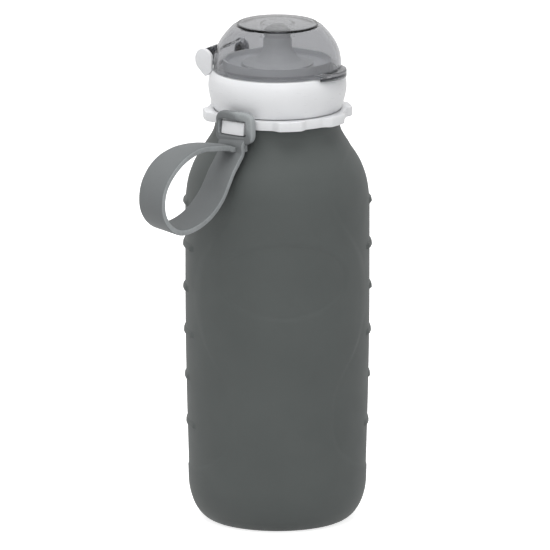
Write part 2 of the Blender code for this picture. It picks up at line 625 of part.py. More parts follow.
def make_lid(made_of):
    lid = add("dome_lid", turned([(0, DOME_BASE)] + dome_rows(0) + [(0, DOME_TOP)], DOME_STEPS, closed=False),
              made_of)
    axis = Vector((-HINGE_REACH, 0, HINGE_HEIGHT))
    tab = bmesh.new()
    turns = [TAB_HALF_ANGLE * (2 * step / TAB_POINTS - 1) for step in range(TAB_POINTS + 1)]
    root = DOME_RADIUS - DOME_WALL / 2
    reach = DOME_RADIUS + TAB_REACH - root
    swell = math.pi / 2 / TAB_HALF_ANGLE
    outline = [polar(root + reach * math.cos(swell * turn) ** TAB_ROUND_SHARE, turn, DOME_BASE)
               for turn in turns[1:-1]]
    outline += [polar(DOME_RADIUS - DOME_WALL, turn, DOME_BASE)
                for turn in (TAB_HALF_ANGLE, 0, -TAB_HALF_ANGLE)]
    prism(tab, outline, (0, 0, TAB_HEIGHT))
    combine(lid, "UNION", guide("tab_tool", tab))

    barrel = bmesh.new()
    start = axis - Vector((0, BARREL_HALF_LENGTH, 0))
    rod(barrel, BARREL_RADIUS, start, (0, 1, 0), BARREL_HALF_LENGTH * 2, PIN_STEPS * 2)
    combine(lid, "UNION", guide("barrel_tool", barrel))
    web = bmesh.new()
    outline = [start + Vector((BARREL_RADIUS * out, 0, BARREL_RADIUS * up)) for out, up in WEB_SHARES]
    prism(web, outline, (0, BARREL_HALF_LENGTH * 2, 0))
    combine(lid, "UNION", guide("web_tool", web))

    hollow = [(0, DOME_BASE - OVERRUN), (DOME_RADIUS - DOME_WALL, DOME_BASE - OVERRUN)]
    hollow += dome_rows(DOME_WALL)[:-2] + [(0, DOME_TOP - DOME_WALL)]
    combine(lid, "DIFFERENCE", guide("dome_hollow_tool", turned(hollow, DOME_STEPS, closed=False)))

    high = DOME_TOP - DOME_WALL / 2
    low = DOME_TOP - DOME_WALL - SOCKET_DROP
    rows = [(SOCKET_BORE, low), (SOCKET_BORE, high), (SOCKET_BORE + SOCKET_WALL, high),
            (SOCKET_BORE + SOCKET_WALL, low)]
    combine(lid, "UNION", guide("socket_tool", turned(rows, PIN_STEPS * 2)))
    pins = bmesh.new()
    for side in (-1, 1):
        rod(pins, TRUNNION_RADIUS, axis + Vector((0, side * (BARREL_HALF_LENGTH - OVERRUN), 0)), (0, side, 0),
            OVERRUN + CLEARANCE + TRUNNION_LENGTH)
    combine(lid, "UNION", guide("trunnion_tool", pins))

    # The lid's own origin lies on the hinge axis
    turn = Matrix.Rotation(LID_ANGLE, 4, "Z")
    lid.data.transform(Matrix.Translation(-axis))
    lid.matrix_world = turn @ Matrix.Translation(axis)


# Carry strap

def strap_station(bm, place, along, half_width, half_thickness, half_slot):
    """One ring of the band's section: flat in the middle and drawn in at both edges."""
    across = Vector((0, 1, 0))
    out = across.cross(along).normalized()
    thin = half_thickness * EDGE_SHARE
    section = ((-half_width, -thin), (-half_slot, -half_thickness), (half_slot, -half_thickness),
               (half_width, -thin), (half_width, thin), (half_slot, half_thickness),
               (-half_slot, half_thickness), (-half_width, thin))
    return [bm.verts.new(place + across * side + out * lift) for side, lift in section]


def band(bm, rings):
    """Skin a row of section rings and close both ends."""
    faces = []
    for ring, following in zip(rings, rings[1:]):
        count = len(ring)
        row = []
        for i in range(count):
            j = (i + 1) % count
            row.append(bm.faces.new((ring[i], ring[j], following[j], following[i])))
        faces.append(row)
    bm.faces.new(rings[0])
    bm.faces.new(list(reversed(rings[-1])))
    return faces


def make_strap(made_of):
    lug_middle = (RING_TIP_RADIUS + RING_NOTCH_RADIUS + CLEARANCE) / 2
    bar_reach = RING_NOTCH_RADIUS + CLEARANCE * 2 + EYELET_HALF_DEPTH
    eyelet_top = RING_TOP + CLEARANCE + EYELET_BAR
    eyelet_foot = RING_BASE - LUG_DROP - CLEARANCE - EYELET_BAR
    half_eyelet = RING_TIP_RADIUS * math.sin(TOOTH_HALF_ANGLE) + CLEARANCE * 2 + EYELET_BAR * SIDE_BAR_SHARE
    stem_reach = bar_reach + EYELET_HALF_DEPTH

    slot_top = eyelet_foot - EYELET_BAR
    slot_base = slot_top - SLOT_HEIGHT
    stem = [Vector((bar_reach, 0, eyelet_foot)), Vector((stem_reach, 0, slot_top)),
            Vector((stem_reach, 0, slot_base))]

    def loop_point(out, down):
        """A point that leans out with the shoulder as it hangs down, and then out along the loop."""
        lean = (BODY_RADIUS - NECK_RADIUS + LOOP_STANDOFF) * min(1, down / LEAN_SHARE)
        return Vector((bar_reach + lean + LOOP_REACH * out, 0, eyelet_foot - LOOP_DROP * down))

    wide = stem + [loop_point(out, down) for out, down in LOOP_SHARES]
    slot_middle = (slot_top + slot_base) / 2
    button_end = NECK_RADIUS + (bar_reach - EYELET_HALF_DEPTH - NECK_RADIUS) * BUTTON_SHARE
    narrow = [loop_point(out, down) for out, down in NARROW_SHARES]
    narrow += [Vector((reach, 0, slot_middle))
               for reach in (stem_reach + STRAP_THICKNESS, stem_reach - STRAP_THICKNESS * TAIL_TURN_SHARE,
                             stem_reach - STRAP_THICKNESS, button_end)]
    route = stem[:-1] + smoothed(wide[2:] + narrow[:-3], STRAP_STEPS) + narrow[-3:]
    wide_count = len(stem) - 1 + (len(wide) - 2 - 1) * STRAP_STEPS + 1

    bm = bmesh.new()
    rings = []
    last = len(route) - 1
    for index, place in enumerate(route):
        along = route[min(index + 1, last)] - route[max(index - 1, 0)]
        if index in (1, 2):
            along = Vector((0, 0, -1))
        width, thickness, slot = STRAP_WIDTH, STRAP_THICKNESS, SLOT_WIDTH
        if index >= wide_count:
            width, slot = TAIL_WIDTH, TAIL_WIDTH * FLAT_SHARE
        if index >= last - 1:
            width, thickness, slot = BUTTON_WIDTH, BUTTON_THICKNESS, BUTTON_WIDTH * FLAT_SHARE
        rings.append(strap_station(bm, place, along, width / 2, thickness / 2, slot / 2))
    faces = band(bm, rings)
    # The slot through the stem: the flat middle faces of one stretch come out and their rims are joined
    stretch = faces[1]
    flats = [stretch[1], stretch[5]]
    rim_edges = [edge for face in flats for edge in face.edges]
    bmesh.ops.delete(bm, geom=flats, context="FACES_ONLY")
    bmesh.ops.bridge_loops(bm, edges=rim_edges)
    bmesh.ops.rotate(bm, cent=(bar_reach, 0, 0), matrix=Matrix.Rotation(LOOP_YAW, 3, "Z"), verts=bm.verts)
    strap = add("carry_strap", bm, made_of)

    eyelet = bmesh.new()
    centre_height = (eyelet_top + eyelet_foot) / 2
    half_height = (eyelet_top - eyelet_foot) / 2
    path = []
    for quarter, (side, rise) in enumerate(((1, 1), (-1, 1), (-1, -1), (1, -1))):
        corner = Vector((bar_reach, side * (half_eyelet - EYELET_CORNER),
                         centre_height + rise * (half_height - EYELET_CORNER)))
        for step in range(EYELET_POINTS + 1):
            turn = math.pi / 2 * (quarter + step / EYELET_POINTS)
            path.append(corner + Vector((0, EYELET_CORNER * math.cos(turn), EYELET_CORNER * math.sin(turn))))
    rings = []
    for index, place in enumerate(path):
        along = (path[(index + 1) % len(path)] - path[index - 1]).normalized()
        out = Vector((1, 0, 0))
        side = along.cross(out)
        half_bar = EYELET_BAR * (SIDE_BAR_SHARE + (1 - SIDE_BAR_SHARE) * abs(along.y))
        turns = [math.tau * step / BAR_POINTS for step in range(BAR_POINTS)]
        rings.append([eyelet.verts.new(place + out * math.cos(turn) * EYELET_HALF_DEPTH
                                       + side * math.sin(turn) * half_bar) for turn in turns])
    for ring, following in zip(rings, rings[1:] + rings[:1]):
        for i in range(BAR_POINTS):
            j = (i + 1) % BAR_POINTS
            eyelet.faces.new((ring[i], ring[j], following[j], following[i]))
    combine(strap, "UNION", add("eyelet_tool", eyelet))

    pivot = Vector((lug_middle, 0, (eyelet_top + eyelet_foot) / 2))
    strap.data.transform(Matrix.Translation(-pivot))
    strap.matrix_world = Matrix.Rotation(LUG_ANGLE, 4, "Z") @ Matrix.Translation(pivot)
    bpy.data.objects["eyelet_tool"].rotation_euler = (0, 0, LUG_ANGLE)


silicone = material("grey_silicone", srgb(91, 95, 94), 0.55)
strap_rubber = material("strap_silicone", srgb(112, 114, 116), 0.5)
white_plastic = material("white_plastic", srgb(236, 237, 239), 0.35)
insert_plastic = material("insert_plastic", srgb(232, 233, 234), 0.4)
ring_plastic = material("ring_plastic", srgb(236, 237, 239), 0.35)
smoke_plastic = material("smoke_plastic", srgb(118, 120, 122), 0.15, alpha=0.6)
spout_rubber = material("spout_silicone", srgb(206, 207, 208), 0.4)
seal_rubber = material("seal_silicone", srgb(225, 226, 228), 0.5)
valve_rubber = material("valve_silicone", srgb(215, 217, 220), 0.5)

make_body(silicone)
top_of_neck = make_insert(insert_plastic)
make_ring(ring_plastic)
make_cap(white_plastic)
make_gasket(top_of_neck, seal_rubber)
make_valve(make_spout(spout_rubber), valve_rubber)
make_lid(smoke_plastic)
make_strap(strap_rubber)
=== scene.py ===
"""Looks of a soft silicone squeeze bottle with a screw cap, a drinking spout, a dome lid and a carry strap."""

import math

import bmesh
import bpy
import numpy as np
from mathutils import Matrix, Vector


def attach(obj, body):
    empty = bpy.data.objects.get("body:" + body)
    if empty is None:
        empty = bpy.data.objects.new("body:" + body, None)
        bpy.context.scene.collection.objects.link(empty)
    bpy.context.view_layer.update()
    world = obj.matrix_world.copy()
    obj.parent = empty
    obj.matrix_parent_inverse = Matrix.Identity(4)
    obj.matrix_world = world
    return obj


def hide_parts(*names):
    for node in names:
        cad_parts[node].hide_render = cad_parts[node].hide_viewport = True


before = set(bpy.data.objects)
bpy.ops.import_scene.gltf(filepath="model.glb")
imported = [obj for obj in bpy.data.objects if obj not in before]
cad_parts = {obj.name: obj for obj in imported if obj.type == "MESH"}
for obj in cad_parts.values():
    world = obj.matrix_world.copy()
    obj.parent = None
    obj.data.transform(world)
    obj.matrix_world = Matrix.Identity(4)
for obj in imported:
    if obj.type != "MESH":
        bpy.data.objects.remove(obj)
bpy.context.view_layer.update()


# Bottle body. The real one is a single soft silicone moulding, about 73 mm across with a wall of about 2 mm.
# It is pressed in a steel mould, which leaves the grip panels and finger ribs on both sides, a shallow
# ring under the base and a fine matt grain. The oval field at the front is plain.

BODY_RADIUS = 0.0363
BODY_STEPS = 240
FOOT_RADIUS = 0.0348
FOOT_WIDTH = 0.0105
FOOT_HEIGHT = 0.0170
TAPER_TOP = 0.0940
SHOULDER_BASE = 0.1250
SHOULDER_RISE = 0.0320
NECK_RADIUS = 0.0244
LIP_HEIGHT = 0.1624
WALL = 0.0022
BASE_WALL = 0.0030
BORE_RADIUS = 0.0220
# The underside's (radius, height) points, from the middle outwards
BASE_RING = ((0, 0.0011), (0.0011, 0.0011), (0.0014, 0.0006), (0.0185, 0.0006), (0.0192, 0.0001), (0.0200, 0))
# (share of the height, share of the width) points
SHOULDER = ((0.0, 1.0), (0.12, 0.987), (0.22, 0.957), (0.32, 0.913), (0.42, 0.838), (0.53, 0.722),
            (0.63, 0.574), (0.73, 0.391), (0.83, 0.209), (0.92, 0.072), (1.0, 0.0))
RELIEF_BASE = 0.0010
PANEL_DEPTH = 0.0003
PANEL_EDGE = 0.0009
PANEL_BLUR = 0.0045
PANEL_BLUR_LEVEL = 0.0940
PANEL_BLUR_REACH = 0.0150
PANEL_BASE = 0.0212
PANEL_HEIGHT = 0.1282
PANEL_HALF_WIDTH = 0.0302
PANEL = ((0.0, 0.0), (0.008, 0.32), (0.033, 0.66), (0.075, 0.88), (0.135, 0.98), (0.20, 1.0),
         (0.262, 0.985), (0.31, 0.93), (0.345, 0.86), (0.377, 0.77), (0.44, 0.62), (0.52, 0.52),
         (0.60, 0.52), (0.67, 0.61), (0.74, 0.79), (0.79, 0.92), (0.845, 0.997), (0.884, 0.97),
         (0.911, 0.935), (0.935, 0.87), (0.967, 0.655), (0.99, 0.38), (1.0, 0.0))
# Each rib's level and how far it stands out
RIBS = ((0.0387, 0.0004), (0.0571, 0.0005), (0.0752, 0.00055), (0.0925, 0.00075), (0.1097, 0.0008),
        (0.1269, 0.0008))
RIB_RISE = 0.0019
RIB_UNDERCUT = 0.0004
RIB_END = 0.0016
RIB_LONG = math.radians(18.5)
RIB_SHORT = math.radians(9.0)
ROW_STEP = 0.0008
RIB_ROWS = np.arange(-0.0014, 0.0028, 0.0002)
RIB_ROWS_MIDDLE = 0.0007
RIB_ROWS_REACH = 0.0024
FIELD_HALF_WIDTH = 0.0250
FIELD_HALF_HEIGHT = 0.0150
FIELD_CENTRE = 0.1020
FIELD_DEPTH = 0.0004
FIELD_EDGE = 18
TOUCHING = 0.000002
SHARP_FROM = math.radians(40)
# Distance over which the silicone's painted highlight fades in
PAINTED_LIGHT_RUN = 0.006


def smoothed(points, parts):
    """Points of a smooth curve through the given ones, with parts to each stretch."""
    points = [Vector(point) for point in points]
    ends = [points[0] * 2 - points[1]] + points + [points[-1] * 2 - points[-2]]
    curve = []
    for before, start, stop, after in zip(ends, ends[1:], ends[2:], ends[3:]):
        for part in range(parts):
            share = part / parts
            bend = before * 2 - start * 5 + stop * 4 - after
            twist = start * 3 - before - stop * 3 + after
            curve.append((start * 2 + (stop - before) * share + bend * share ** 2 + twist * share ** 3) / 2)
    return curve + [points[-1]]


def eased(share):
    """A share from 0 to 1 that starts and ends gently."""
    return share * share * (3 - 2 * share)


def lathe(profile, steps):
    """Spin a profile of (radius, height) points a full turn round Z. One that returns to its start is closed."""
    bm = bmesh.new()
    line = [bm.verts.new((radius, 0, height)) for radius, height in profile]
    edges = [bm.edges.new(pair) for pair in zip(line, line[1:])]
    bmesh.ops.spin(bm, geom=line + edges, axis=(0, 0, 1), cent=(0, 0, 0), angle=math.tau, steps=steps,
                   use_merge=True)
    bmesh.ops.remove_doubles(bm, verts=bm.verts, dist=TOUCHING)
    bmesh.ops.recalc_face_normals(bm, faces=bm.faces)
    return bm


def shown(name, bm, material):
    """Turn a bmesh into a smooth-shaded object made of one material."""
    mesh = bpy.data.meshes.new(name)
    bm.to_mesh(mesh)
    bm.free()
    mesh.shade_smooth()
    mesh.set_sharp_from_angle(angle=SHARP_FROM)
    mesh.materials.append(material)
    made = bpy.data.objects.new(name, mesh)
    bpy.context.scene.collection.objects.link(made)
    return made


def points_of(made):
    """The points of an object's mesh, each as a row of x, y and z."""
    spots = np.empty(len(made.data.vertices) * 3)
    made.data.vertices.foreach_get("co", spots)
    return spots.reshape(-1, 3)


def wall_at(levels, rows):
    """The radius of a rising profile of (radius, height) rows at each of some levels."""
    return np.interp(levels, [height for radius, height in rows], [radius for radius, height in rows])


class Shade:
    """A socket in a material's nodes. Arithmetic on it adds Math nodes, and its methods add other nodes."""

    def __init__(self, tree, socket=None):
        self.tree = tree
        self.socket = socket

    def made(self, kind, settings=(), sockets=(), give=0):
        node = self.tree.nodes.new(kind)
        for name, value in dict(settings).items():
            if name == "stops":
                stops = node.color_ramp.elements
                for place, colour in value[2:]:
                    stops.new(place)
                for stop, (place, colour) in zip(stops, value):
                    stop.position = place
                    stop.color = colour
            else:
                setattr(node, name, value)
        for name, value in dict(sockets).items():
            if isinstance(value, Shade):
                self.tree.links.new(value.socket, node.inputs[name])
            else:
                node.inputs[name].default_value = value
        return Shade(self.tree, node.outputs[give])

    def math(self, operation, *values):
        return self.made("ShaderNodeMath", {"operation": operation}, enumerate((self,) + values))

    def noise(self, scale, detail, roughness=0.5):
        """Noise at this place."""
        return self.made("ShaderNodeTexNoise", sockets={"Vector": self, "Scale": scale, "Detail": detail,
                                                        "Roughness": roughness})

    def along(self, way):
        """How far this vector reaches along a direction."""
        return self.made("ShaderNodeVectorMath", {"operation": "DOT_PRODUCT"}, {0: self, 1: way}, give="Value")

    def ramp(self, start, end, most):
        """0 as far as a start value, and from there in a straight line up to most at an end value."""
        return self.made("ShaderNodeMapRange", sockets={"Value": self, "From Min": start, "From Max": end,
                                                        "To Max": most})

    def feed(self, name):
        """Link this value to one of the Principled shader's sockets."""
        self.tree.links.new(self.socket, self.tree.nodes["Principled BSDF"].inputs[name])

    def colour(self, *stops):
        """Let this value pick the base colour from (place, colour) stops."""
        self.made("ShaderNodeValToRGB", {"stops": stops}, {"Fac": self}).feed("Base Color")

    def bump(self, strength, distance):
        """Let this value raise the surface."""
        self.made("ShaderNodeBump", sockets={"Strength": strength, "Distance": distance,
                                             "Height": self}).feed("Normal")

    def __add__(self, other):
        return self.math("ADD", other)

    def __radd__(self, other):
        return self.math("ADD", other)

    def __sub__(self, other):
        return self.math("SUBTRACT", other)

    def __rsub__(self, other):
        return self.math("MULTIPLY_ADD", -1, other)

    def __mul__(self, other):
        return self.math("MULTIPLY", other)

    def __rmul__(self, other):
        return self.math("MULTIPLY", other)


def finish(name, sockets):
    """A new material whose Principled shader holds the given values, and a Shade to build its nodes with."""
    made = bpy.data.materials.new(name)
    made.use_nodes = True
    shader = made.node_tree.nodes["Principled BSDF"]
    for socket, value in sockets.items():
        shader.inputs[socket].default_value = value
    return made, Shade(made.node_tree)


def tone(level, share=1.0):
    """Opaque linear colour of an (r, g, b) display colour of 0 to 255, made lighter or darker by a share."""
    linear = [(value / 255 / 12.92 if value <= 10 else ((value / 255 + 0.055) / 1.055) ** 2.4) for value in level]
    return tuple(min(1, value * share) for value in linear) + (1,)


def silicone(name, level, roughness, grain=0.00003, painted_light_from=9, painted_light_way=(0, 0, 1), painted_edge_way=(0, 0, 0)):
    """Matt moulded silicone: a slightly cloudy colour, patches of handling shine and a fine sandblasted grain.
    It has painted highlights: it is painted paler from a distance along one given way, and on edges that face
    another given way."""
    made, nodes = finish(name, {"Roughness": roughness, "IOR": 1.41, "Specular IOR Level": 0.4})
    place = nodes.made("ShaderNodeTexCoord", give="Object")
    cloud = place.noise(38, 4, 0.55)
    speck = place.noise(1500, 2)
    # Painted highlights: paler beyond a given distance along one way, and on edges that face another way
    painted_highlight = place.along(painted_light_way).ramp(painted_light_from, painted_light_from + PAINTED_LIGHT_RUN, 0.45)
    facing = nodes.made("ShaderNodeTexCoord", give="Normal").along(painted_edge_way)
    painted_edge_light = facing.math("ABSOLUTE").ramp(0.55, 0.85, 0.42)
    (cloud * 0.8 + speck * 0.2 + painted_highlight + painted_edge_light).colour((0.32, tone(level, 0.95)), (0.68, tone(level, 1.06)),
                                                           (1.0, tone(level, 2.1)))
    patch = place.noise(110, 3)
    (patch * 0.14 + speck * 0.06 + (roughness - 0.10)).feed("Roughness")
    (place.noise(2600, 3) + place.noise(150, 1) * 1.5).bump(0.35, grain)
    return made


def body_rows(inset):
    """The body's outside from the flat base to the top of the shoulder, moved in by an inset."""
    turns = [math.pi / 2 * step / 14 for step in range(15)]
    radius, height = FOOT_RADIUS - inset, FOOT_HEIGHT - inset
    rows = [(radius - FOOT_WIDTH + FOOT_WIDTH * math.sin(turn), inset + height - height * math.cos(turn))
            for turn in turns]
    levels = np.arange(FOOT_HEIGHT + ROW_STEP, SHOULDER_BASE, ROW_STEP)
    if inset == 0:
        # The outside has closer rows at each rib
        close = [rib + offset for rib, proud in RIBS for offset in RIB_ROWS]
        wide = [level for level in levels
                if min(abs(level - rib - RIB_ROWS_MIDDLE) for rib, proud in RIBS) > RIB_ROWS_REACH]
        levels = sorted(wide + close)
    for level in levels:
        rise = min(1, (level - FOOT_HEIGHT) / (TAPER_TOP - FOOT_HEIGHT))
        if level < SHOULDER_BASE:
            rows.append((FOOT_RADIUS + (BODY_RADIUS - FOOT_RADIUS) * math.sin(math.pi / 2 * rise) - inset, level))
    spread = BODY_RADIUS - NECK_RADIUS
    return rows + [(NECK_RADIUS + spread * point.y - inset, SHOULDER_BASE + SHOULDER_RISE * point.x)
                   for point in smoothed(SHOULDER, 4) if point.x >= 0]


outside = list(BASE_RING) + body_rows(0)
outside += [(NECK_RADIUS, LIP_HEIGHT - 0.0004), (NECK_RADIUS - 0.0003, LIP_HEIGHT)]
inside = [row for row in body_rows(WALL)[::3] if row[0] > BORE_RADIUS and row[1] > BASE_WALL]
inside = [(0, BASE_WALL)] + inside + [(BORE_RADIUS, LIP_HEIGHT - 0.0060), (BORE_RADIUS, LIP_HEIGHT - 0.0003),
                                      (BORE_RADIUS + 0.0003, LIP_HEIGHT)]
bottle = shown("silicone_body", lathe(outside + inside[::-1], BODY_STEPS),
               silicone("grey silicone", (83, 87, 86), 0.56))

# The mould's relief: panels, ribs and the front field move the wall in or out
spots = points_of(bottle)
across, level = spots[:, 1], spots[:, 2]
reach = np.hypot(spots[:, 0], across)
on_outside = (reach > wall_at(level, outside[len(BASE_RING):]) - WALL / 2) & (level > RELIEF_BASE)
edge_points = smoothed(PANEL, 6)
edge_levels = np.array([PANEL_BASE + PANEL_HEIGHT * point.x for point in edge_points])
edge_widths = np.array([PANEL_HALF_WIDTH * max(0, point.y) for point in edge_points])
half_width = np.interp(level, edge_levels, edge_widths, left=-0.002, right=-0.002)
# The nudge keeps every level above the one before it
nudge = np.arange(len(edge_levels)) * 0.0000001
slopes = np.gradient(edge_widths, np.maximum(edge_levels, edge_levels[0]) + nudge)
lean = np.interp(level, edge_levels, slopes)
inward = (half_width - np.abs(across)) / np.sqrt(1 + lean ** 2)
# The panel's edge is soft round its middle and crisp towards both ends
blur = PANEL_EDGE + PANEL_BLUR * np.exp(-((level - PANEL_BLUR_LEVEL) / PANEL_BLUR_REACH) ** 2)
relief = -PANEL_DEPTH * np.clip(inward / blur + 0.5, 0, 1)
oval = np.hypot(spots[:, 0] / FIELD_HALF_WIDTH, (level - FIELD_CENTRE) / FIELD_HALF_HEIGHT)
relief -= FIELD_DEPTH * eased(np.clip((1 - oval) * FIELD_EDGE + 0.5, 0, 1) * (across < 0))
turn = np.abs(np.arctan2(across, np.abs(spots[:, 0])))
for row, (rib, proud) in enumerate(RIBS):
    end = RIB_SHORT if row % 2 else RIB_LONG
    fade = np.clip((end - turn) * BODY_RADIUS / RIB_END + 0.5, 0, 1)
    offset = level - rib
    above = np.clip(1 - offset / RIB_RISE, 0, 1)
    below = np.clip(1 + offset / RIB_UNDERCUT, 0, 1)
    bar = np.sqrt(np.clip(1 - (1 - np.minimum(above, below)) ** 2, 0, 1))
    relief += (proud + PANEL_DEPTH / 2) * bar * eased(fade)
spots[:, :2] *= (1 + np.where(on_outside, relief, 0) / np.maximum(reach, 0.001))[:, None]
bottle.data.vertices.foreach_set("co", spots.reshape(-1))
bottle.data.update()
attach(bottle, "bottle")
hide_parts("bottle_body")


# Neck insert. A hard white injection-moulded sleeve is pushed into the silicone neck, where its barbs hold.
# Its flange covers the soft lip, and above it stands the screw neck, with a raised thread of 4 mm pitch.

INSERT_STEPS = 160
SLEEVE = 0.0217
SLEEVE_WALL = 0.0023
SLEEVE_FOOT = LIP_HEIGHT - 0.0092
BARB_TOP = LIP_HEIGHT - 0.0013
BARB_PITCH = 0.0026
FLANGE_BASE = LIP_HEIGHT + 0.0003
FLANGE_TOP = FLANGE_BASE + 0.0014
NECK_TOP = FLANGE_TOP + 0.0110
SCREW_RADIUS = 0.0216
PITCH = 0.0040
THREAD_HALF = 0.0009
THREAD_SINK = 0.0003
THREAD_STEPS = 72
THREAD_FADE = 9
WELDED = 0.000003
SLIVER = 0.000001


def plastic(name, level, roughness=0.30):
    """White moulded plastic: gloss broken by a faint orange peel, fine handling scuffs and a cloudy tint."""
    made, nodes = finish(name, {"Roughness": roughness, "IOR": 1.49, "Subsurface Weight": 0.08,
                                "Subsurface Radius": (0.0016, 0.0015, 0.0014), "Subsurface Scale": 1.0})
    place = nodes.made("ShaderNodeTexCoord", give="Object")
    place.noise(45, 3).colour((0.35, tone(level, 0.97)), (0.65, tone(level, 1.02)))
    stretched = nodes.made("ShaderNodeMapping", sockets={"Vector": place, "Scale": (1, 1, 9)})
    scuff = stretched.noise(260, 4)
    (scuff * 0.16 + (roughness - 0.08)).feed("Roughness")
    (place.noise(420, 2) + scuff * 0.3).bump(0.2, 0.00003)
    return made


def weld(bm):
    """Join points that all but meet, so that no face is left without an area."""
    bmesh.ops.remove_doubles(bm, verts=bm.verts, dist=WELDED)
    bmesh.ops.dissolve_degenerate(bm, edges=bm.edges, dist=SLIVER)


def soften(bm, offset, segments=3, above=28):
    """Bevel every edge that bends more than a number of degrees."""
    bends = [edge for edge in bm.edges if edge.is_manifold and edge.calc_face_angle(0) > math.radians(above)]
    bmesh.ops.bevel(bm, geom=bends, offset=offset, segments=segments, profile=0.5, affect="EDGES", material=-1,
                    clamp_overlap=True)
    weld(bm)


def thread(bm, root, crest, base, turns):
    """Add a helical ridge between two radii, which fades out at both ends. It climbs as a right-hand thread."""
    depth = crest - root
    section = [(root - THREAD_SINK, -THREAD_HALF), (root, -THREAD_HALF), (root + depth * 0.9, -THREAD_HALF / 3),
               (crest, 0), (root + depth * 0.9, THREAD_HALF / 3), (root, THREAD_HALF),
               (root - THREAD_SINK, THREAD_HALF)]
    wall = set(bm.faces)
    before = len(bm.verts)
    face = bm.faces.new([bm.verts.new((radius, 0, base + rise)) for radius, rise in section])
    steps = round(turns * THREAD_STEPS)
    bmesh.ops.spin(bm, geom=[face], axis=(0, 0, 1), cent=(0, 0, 0), dvec=(0, 0, PITCH / THREAD_STEPS),
                   angle=math.tau * turns, steps=steps)
    bm.verts.ensure_lookup_table()
    for ring in range(steps + 1):
        share = min(1, ring / THREAD_FADE, (steps - ring) / THREAD_FADE)
        first = before + ring * len(section)
        for vert in bm.verts[first:first + len(section)]:
            radius = math.hypot(vert.co.x, vert.co.y)
            grown = root - THREAD_SINK + (radius - root + THREAD_SINK) * max(share, 0.05)
            vert.co.xy *= grown / radius
    # A helix has no clear outside for the first step, so the sign of its volume tells which way round it is
    ridge = [face for face in bm.faces if face not in wall]
    bmesh.ops.recalc_face_normals(bm, faces=ridge)
    bm.normal_update()
    if sum(face.calc_area() * face.normal.dot(face.calc_center_median()) for face in ridge) < 0:
        bmesh.ops.reverse_faces(bm, faces=ridge)


bore = SLEEVE - SLEEVE_WALL
barbs = []
for top in (BARB_TOP, BARB_TOP - BARB_PITCH):
    barbs += [(SLEEVE, top), (SLEEVE + 0.0003, top - 0.0004), (SLEEVE, top - 0.0013)]
profile = [(bore, SLEEVE_FOOT), (bore, NECK_TOP), (SCREW_RADIUS, NECK_TOP), (SCREW_RADIUS, FLANGE_TOP),
           (NECK_RADIUS, FLANGE_TOP), (NECK_RADIUS, FLANGE_BASE), (SLEEVE, FLANGE_BASE)]
profile += barbs + [(SLEEVE, SLEEVE_FOOT + 0.0006), (SLEEVE - 0.0006, SLEEVE_FOOT), (bore, SLEEVE_FOOT)]
bm = lathe(profile, INSERT_STEPS)
soften(bm, 0.0003)
thread(bm, SCREW_RADIUS, SCREW_RADIUS + 0.0010, FLANGE_TOP + 0.0020, 1.7)
insert = shown("screw_neck", bm, plastic("white neck plastic", (226, 227, 228), 0.34))
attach(insert, "bottle")
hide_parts("neck_insert")


# Toothed ring. A white plastic ring clamps the silicone neck on the insert and gives the other hand a grip
# while the cap is turned. One of its eight teeth runs deeper: the carry strap's eyelet sits round it.

RING_STEPS = 480
RING_BASE = 0.1604
RING_TOP = 0.1641
RING_BORE = 0.0247
RING_NOTCH = 0.0270
TOOTH_ROOT = 0.0265
TOOTH_DEPTH = 0.0022
TOOTH_PITCH = 45
TOOTH_HALF_ANGLE = 11.5
FLANK = 8.0
LUG_FLANK = 1.6
LUG_RAMP = 0.8
LUG_AT = 231
LUG_ROOT = 0.0259
LUG_DROP = 0.0018
LUG_TOP_DROP = 0.0005
LUG_REACH = 0.0017
LUG_SLOPE = 0.0009
LUG_LEFT = 11.9
LUG_RIGHT = 9.8


def clamped(value):
    """A value held between 0 and 1."""
    return min(1, max(0, value))


profile = [(RING_BORE, RING_BASE), (LUG_ROOT, RING_BASE), (LUG_ROOT + 0.0003, RING_BASE),
           (RING_NOTCH - 0.0004, RING_BASE), (RING_NOTCH - 0.0001, RING_BASE + 0.0001),
           (RING_NOTCH, RING_BASE + 0.0004), (RING_NOTCH, RING_TOP - 0.0004),
           (RING_NOTCH - 0.0001, RING_TOP - 0.0001), (RING_NOTCH - 0.0004, RING_TOP),
           (RING_BORE + 0.0003, RING_TOP), (RING_BORE, RING_TOP - 0.0003), (RING_BORE, RING_BASE)]
bm = lathe(profile, RING_STEPS)
for vert in bm.verts:
    radius = math.hypot(vert.co.x, vert.co.y)
    off_lug = math.degrees(math.atan2(vert.co.y, vert.co.x)) % 360 - LUG_AT
    inside_lug = min(off_lug + LUG_LEFT, LUG_RIGHT - off_lug)
    off_tooth = (off_lug + TOOTH_PITCH / 2) % TOOTH_PITCH - TOOTH_PITCH / 2
    if abs(off_lug) < TOOTH_PITCH / 2:
        flank = clamped(inside_lug / LUG_FLANK + 0.5)
    else:
        flank = clamped((TOOTH_HALF_ANGLE - abs(off_tooth)) / FLANK + 0.5)
    lug = clamped(inside_lug / LUG_RAMP)
    slope = (vert.co.z - RING_BASE) / (RING_TOP - RING_BASE)
    if radius > LUG_ROOT + 0.0002 and slope < 0.3:
        vert.co.z -= LUG_DROP * lug
    if radius > TOOTH_ROOT:
        vert.co.xy *= 1 + (TOOTH_DEPTH * eased(flank) + (LUG_REACH - LUG_SLOPE * slope) * lug) / radius
        if slope > 0.7:
            vert.co.z -= LUG_TOP_DROP * lug
ring = shown("toothed_ring", bm, plastic("white ring plastic", (227, 228, 230)))
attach(ring, "bottle")
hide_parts("gear_ring")


# Screw cap. One white moulding: a rounded skirt with the thread inside, a dished top with an upright lip,
# a boss below that grips the valve, two ears that hold the lid's pins, and a small catch nub for the lid.

CAP_STEPS = 192
CAP_BASE = 0.1644
CAP_HEIGHT = 0.0147
CAP_FOOT = 0.0252
CAP_FLARE = 0.0018
CAP_BORE = 0.0232
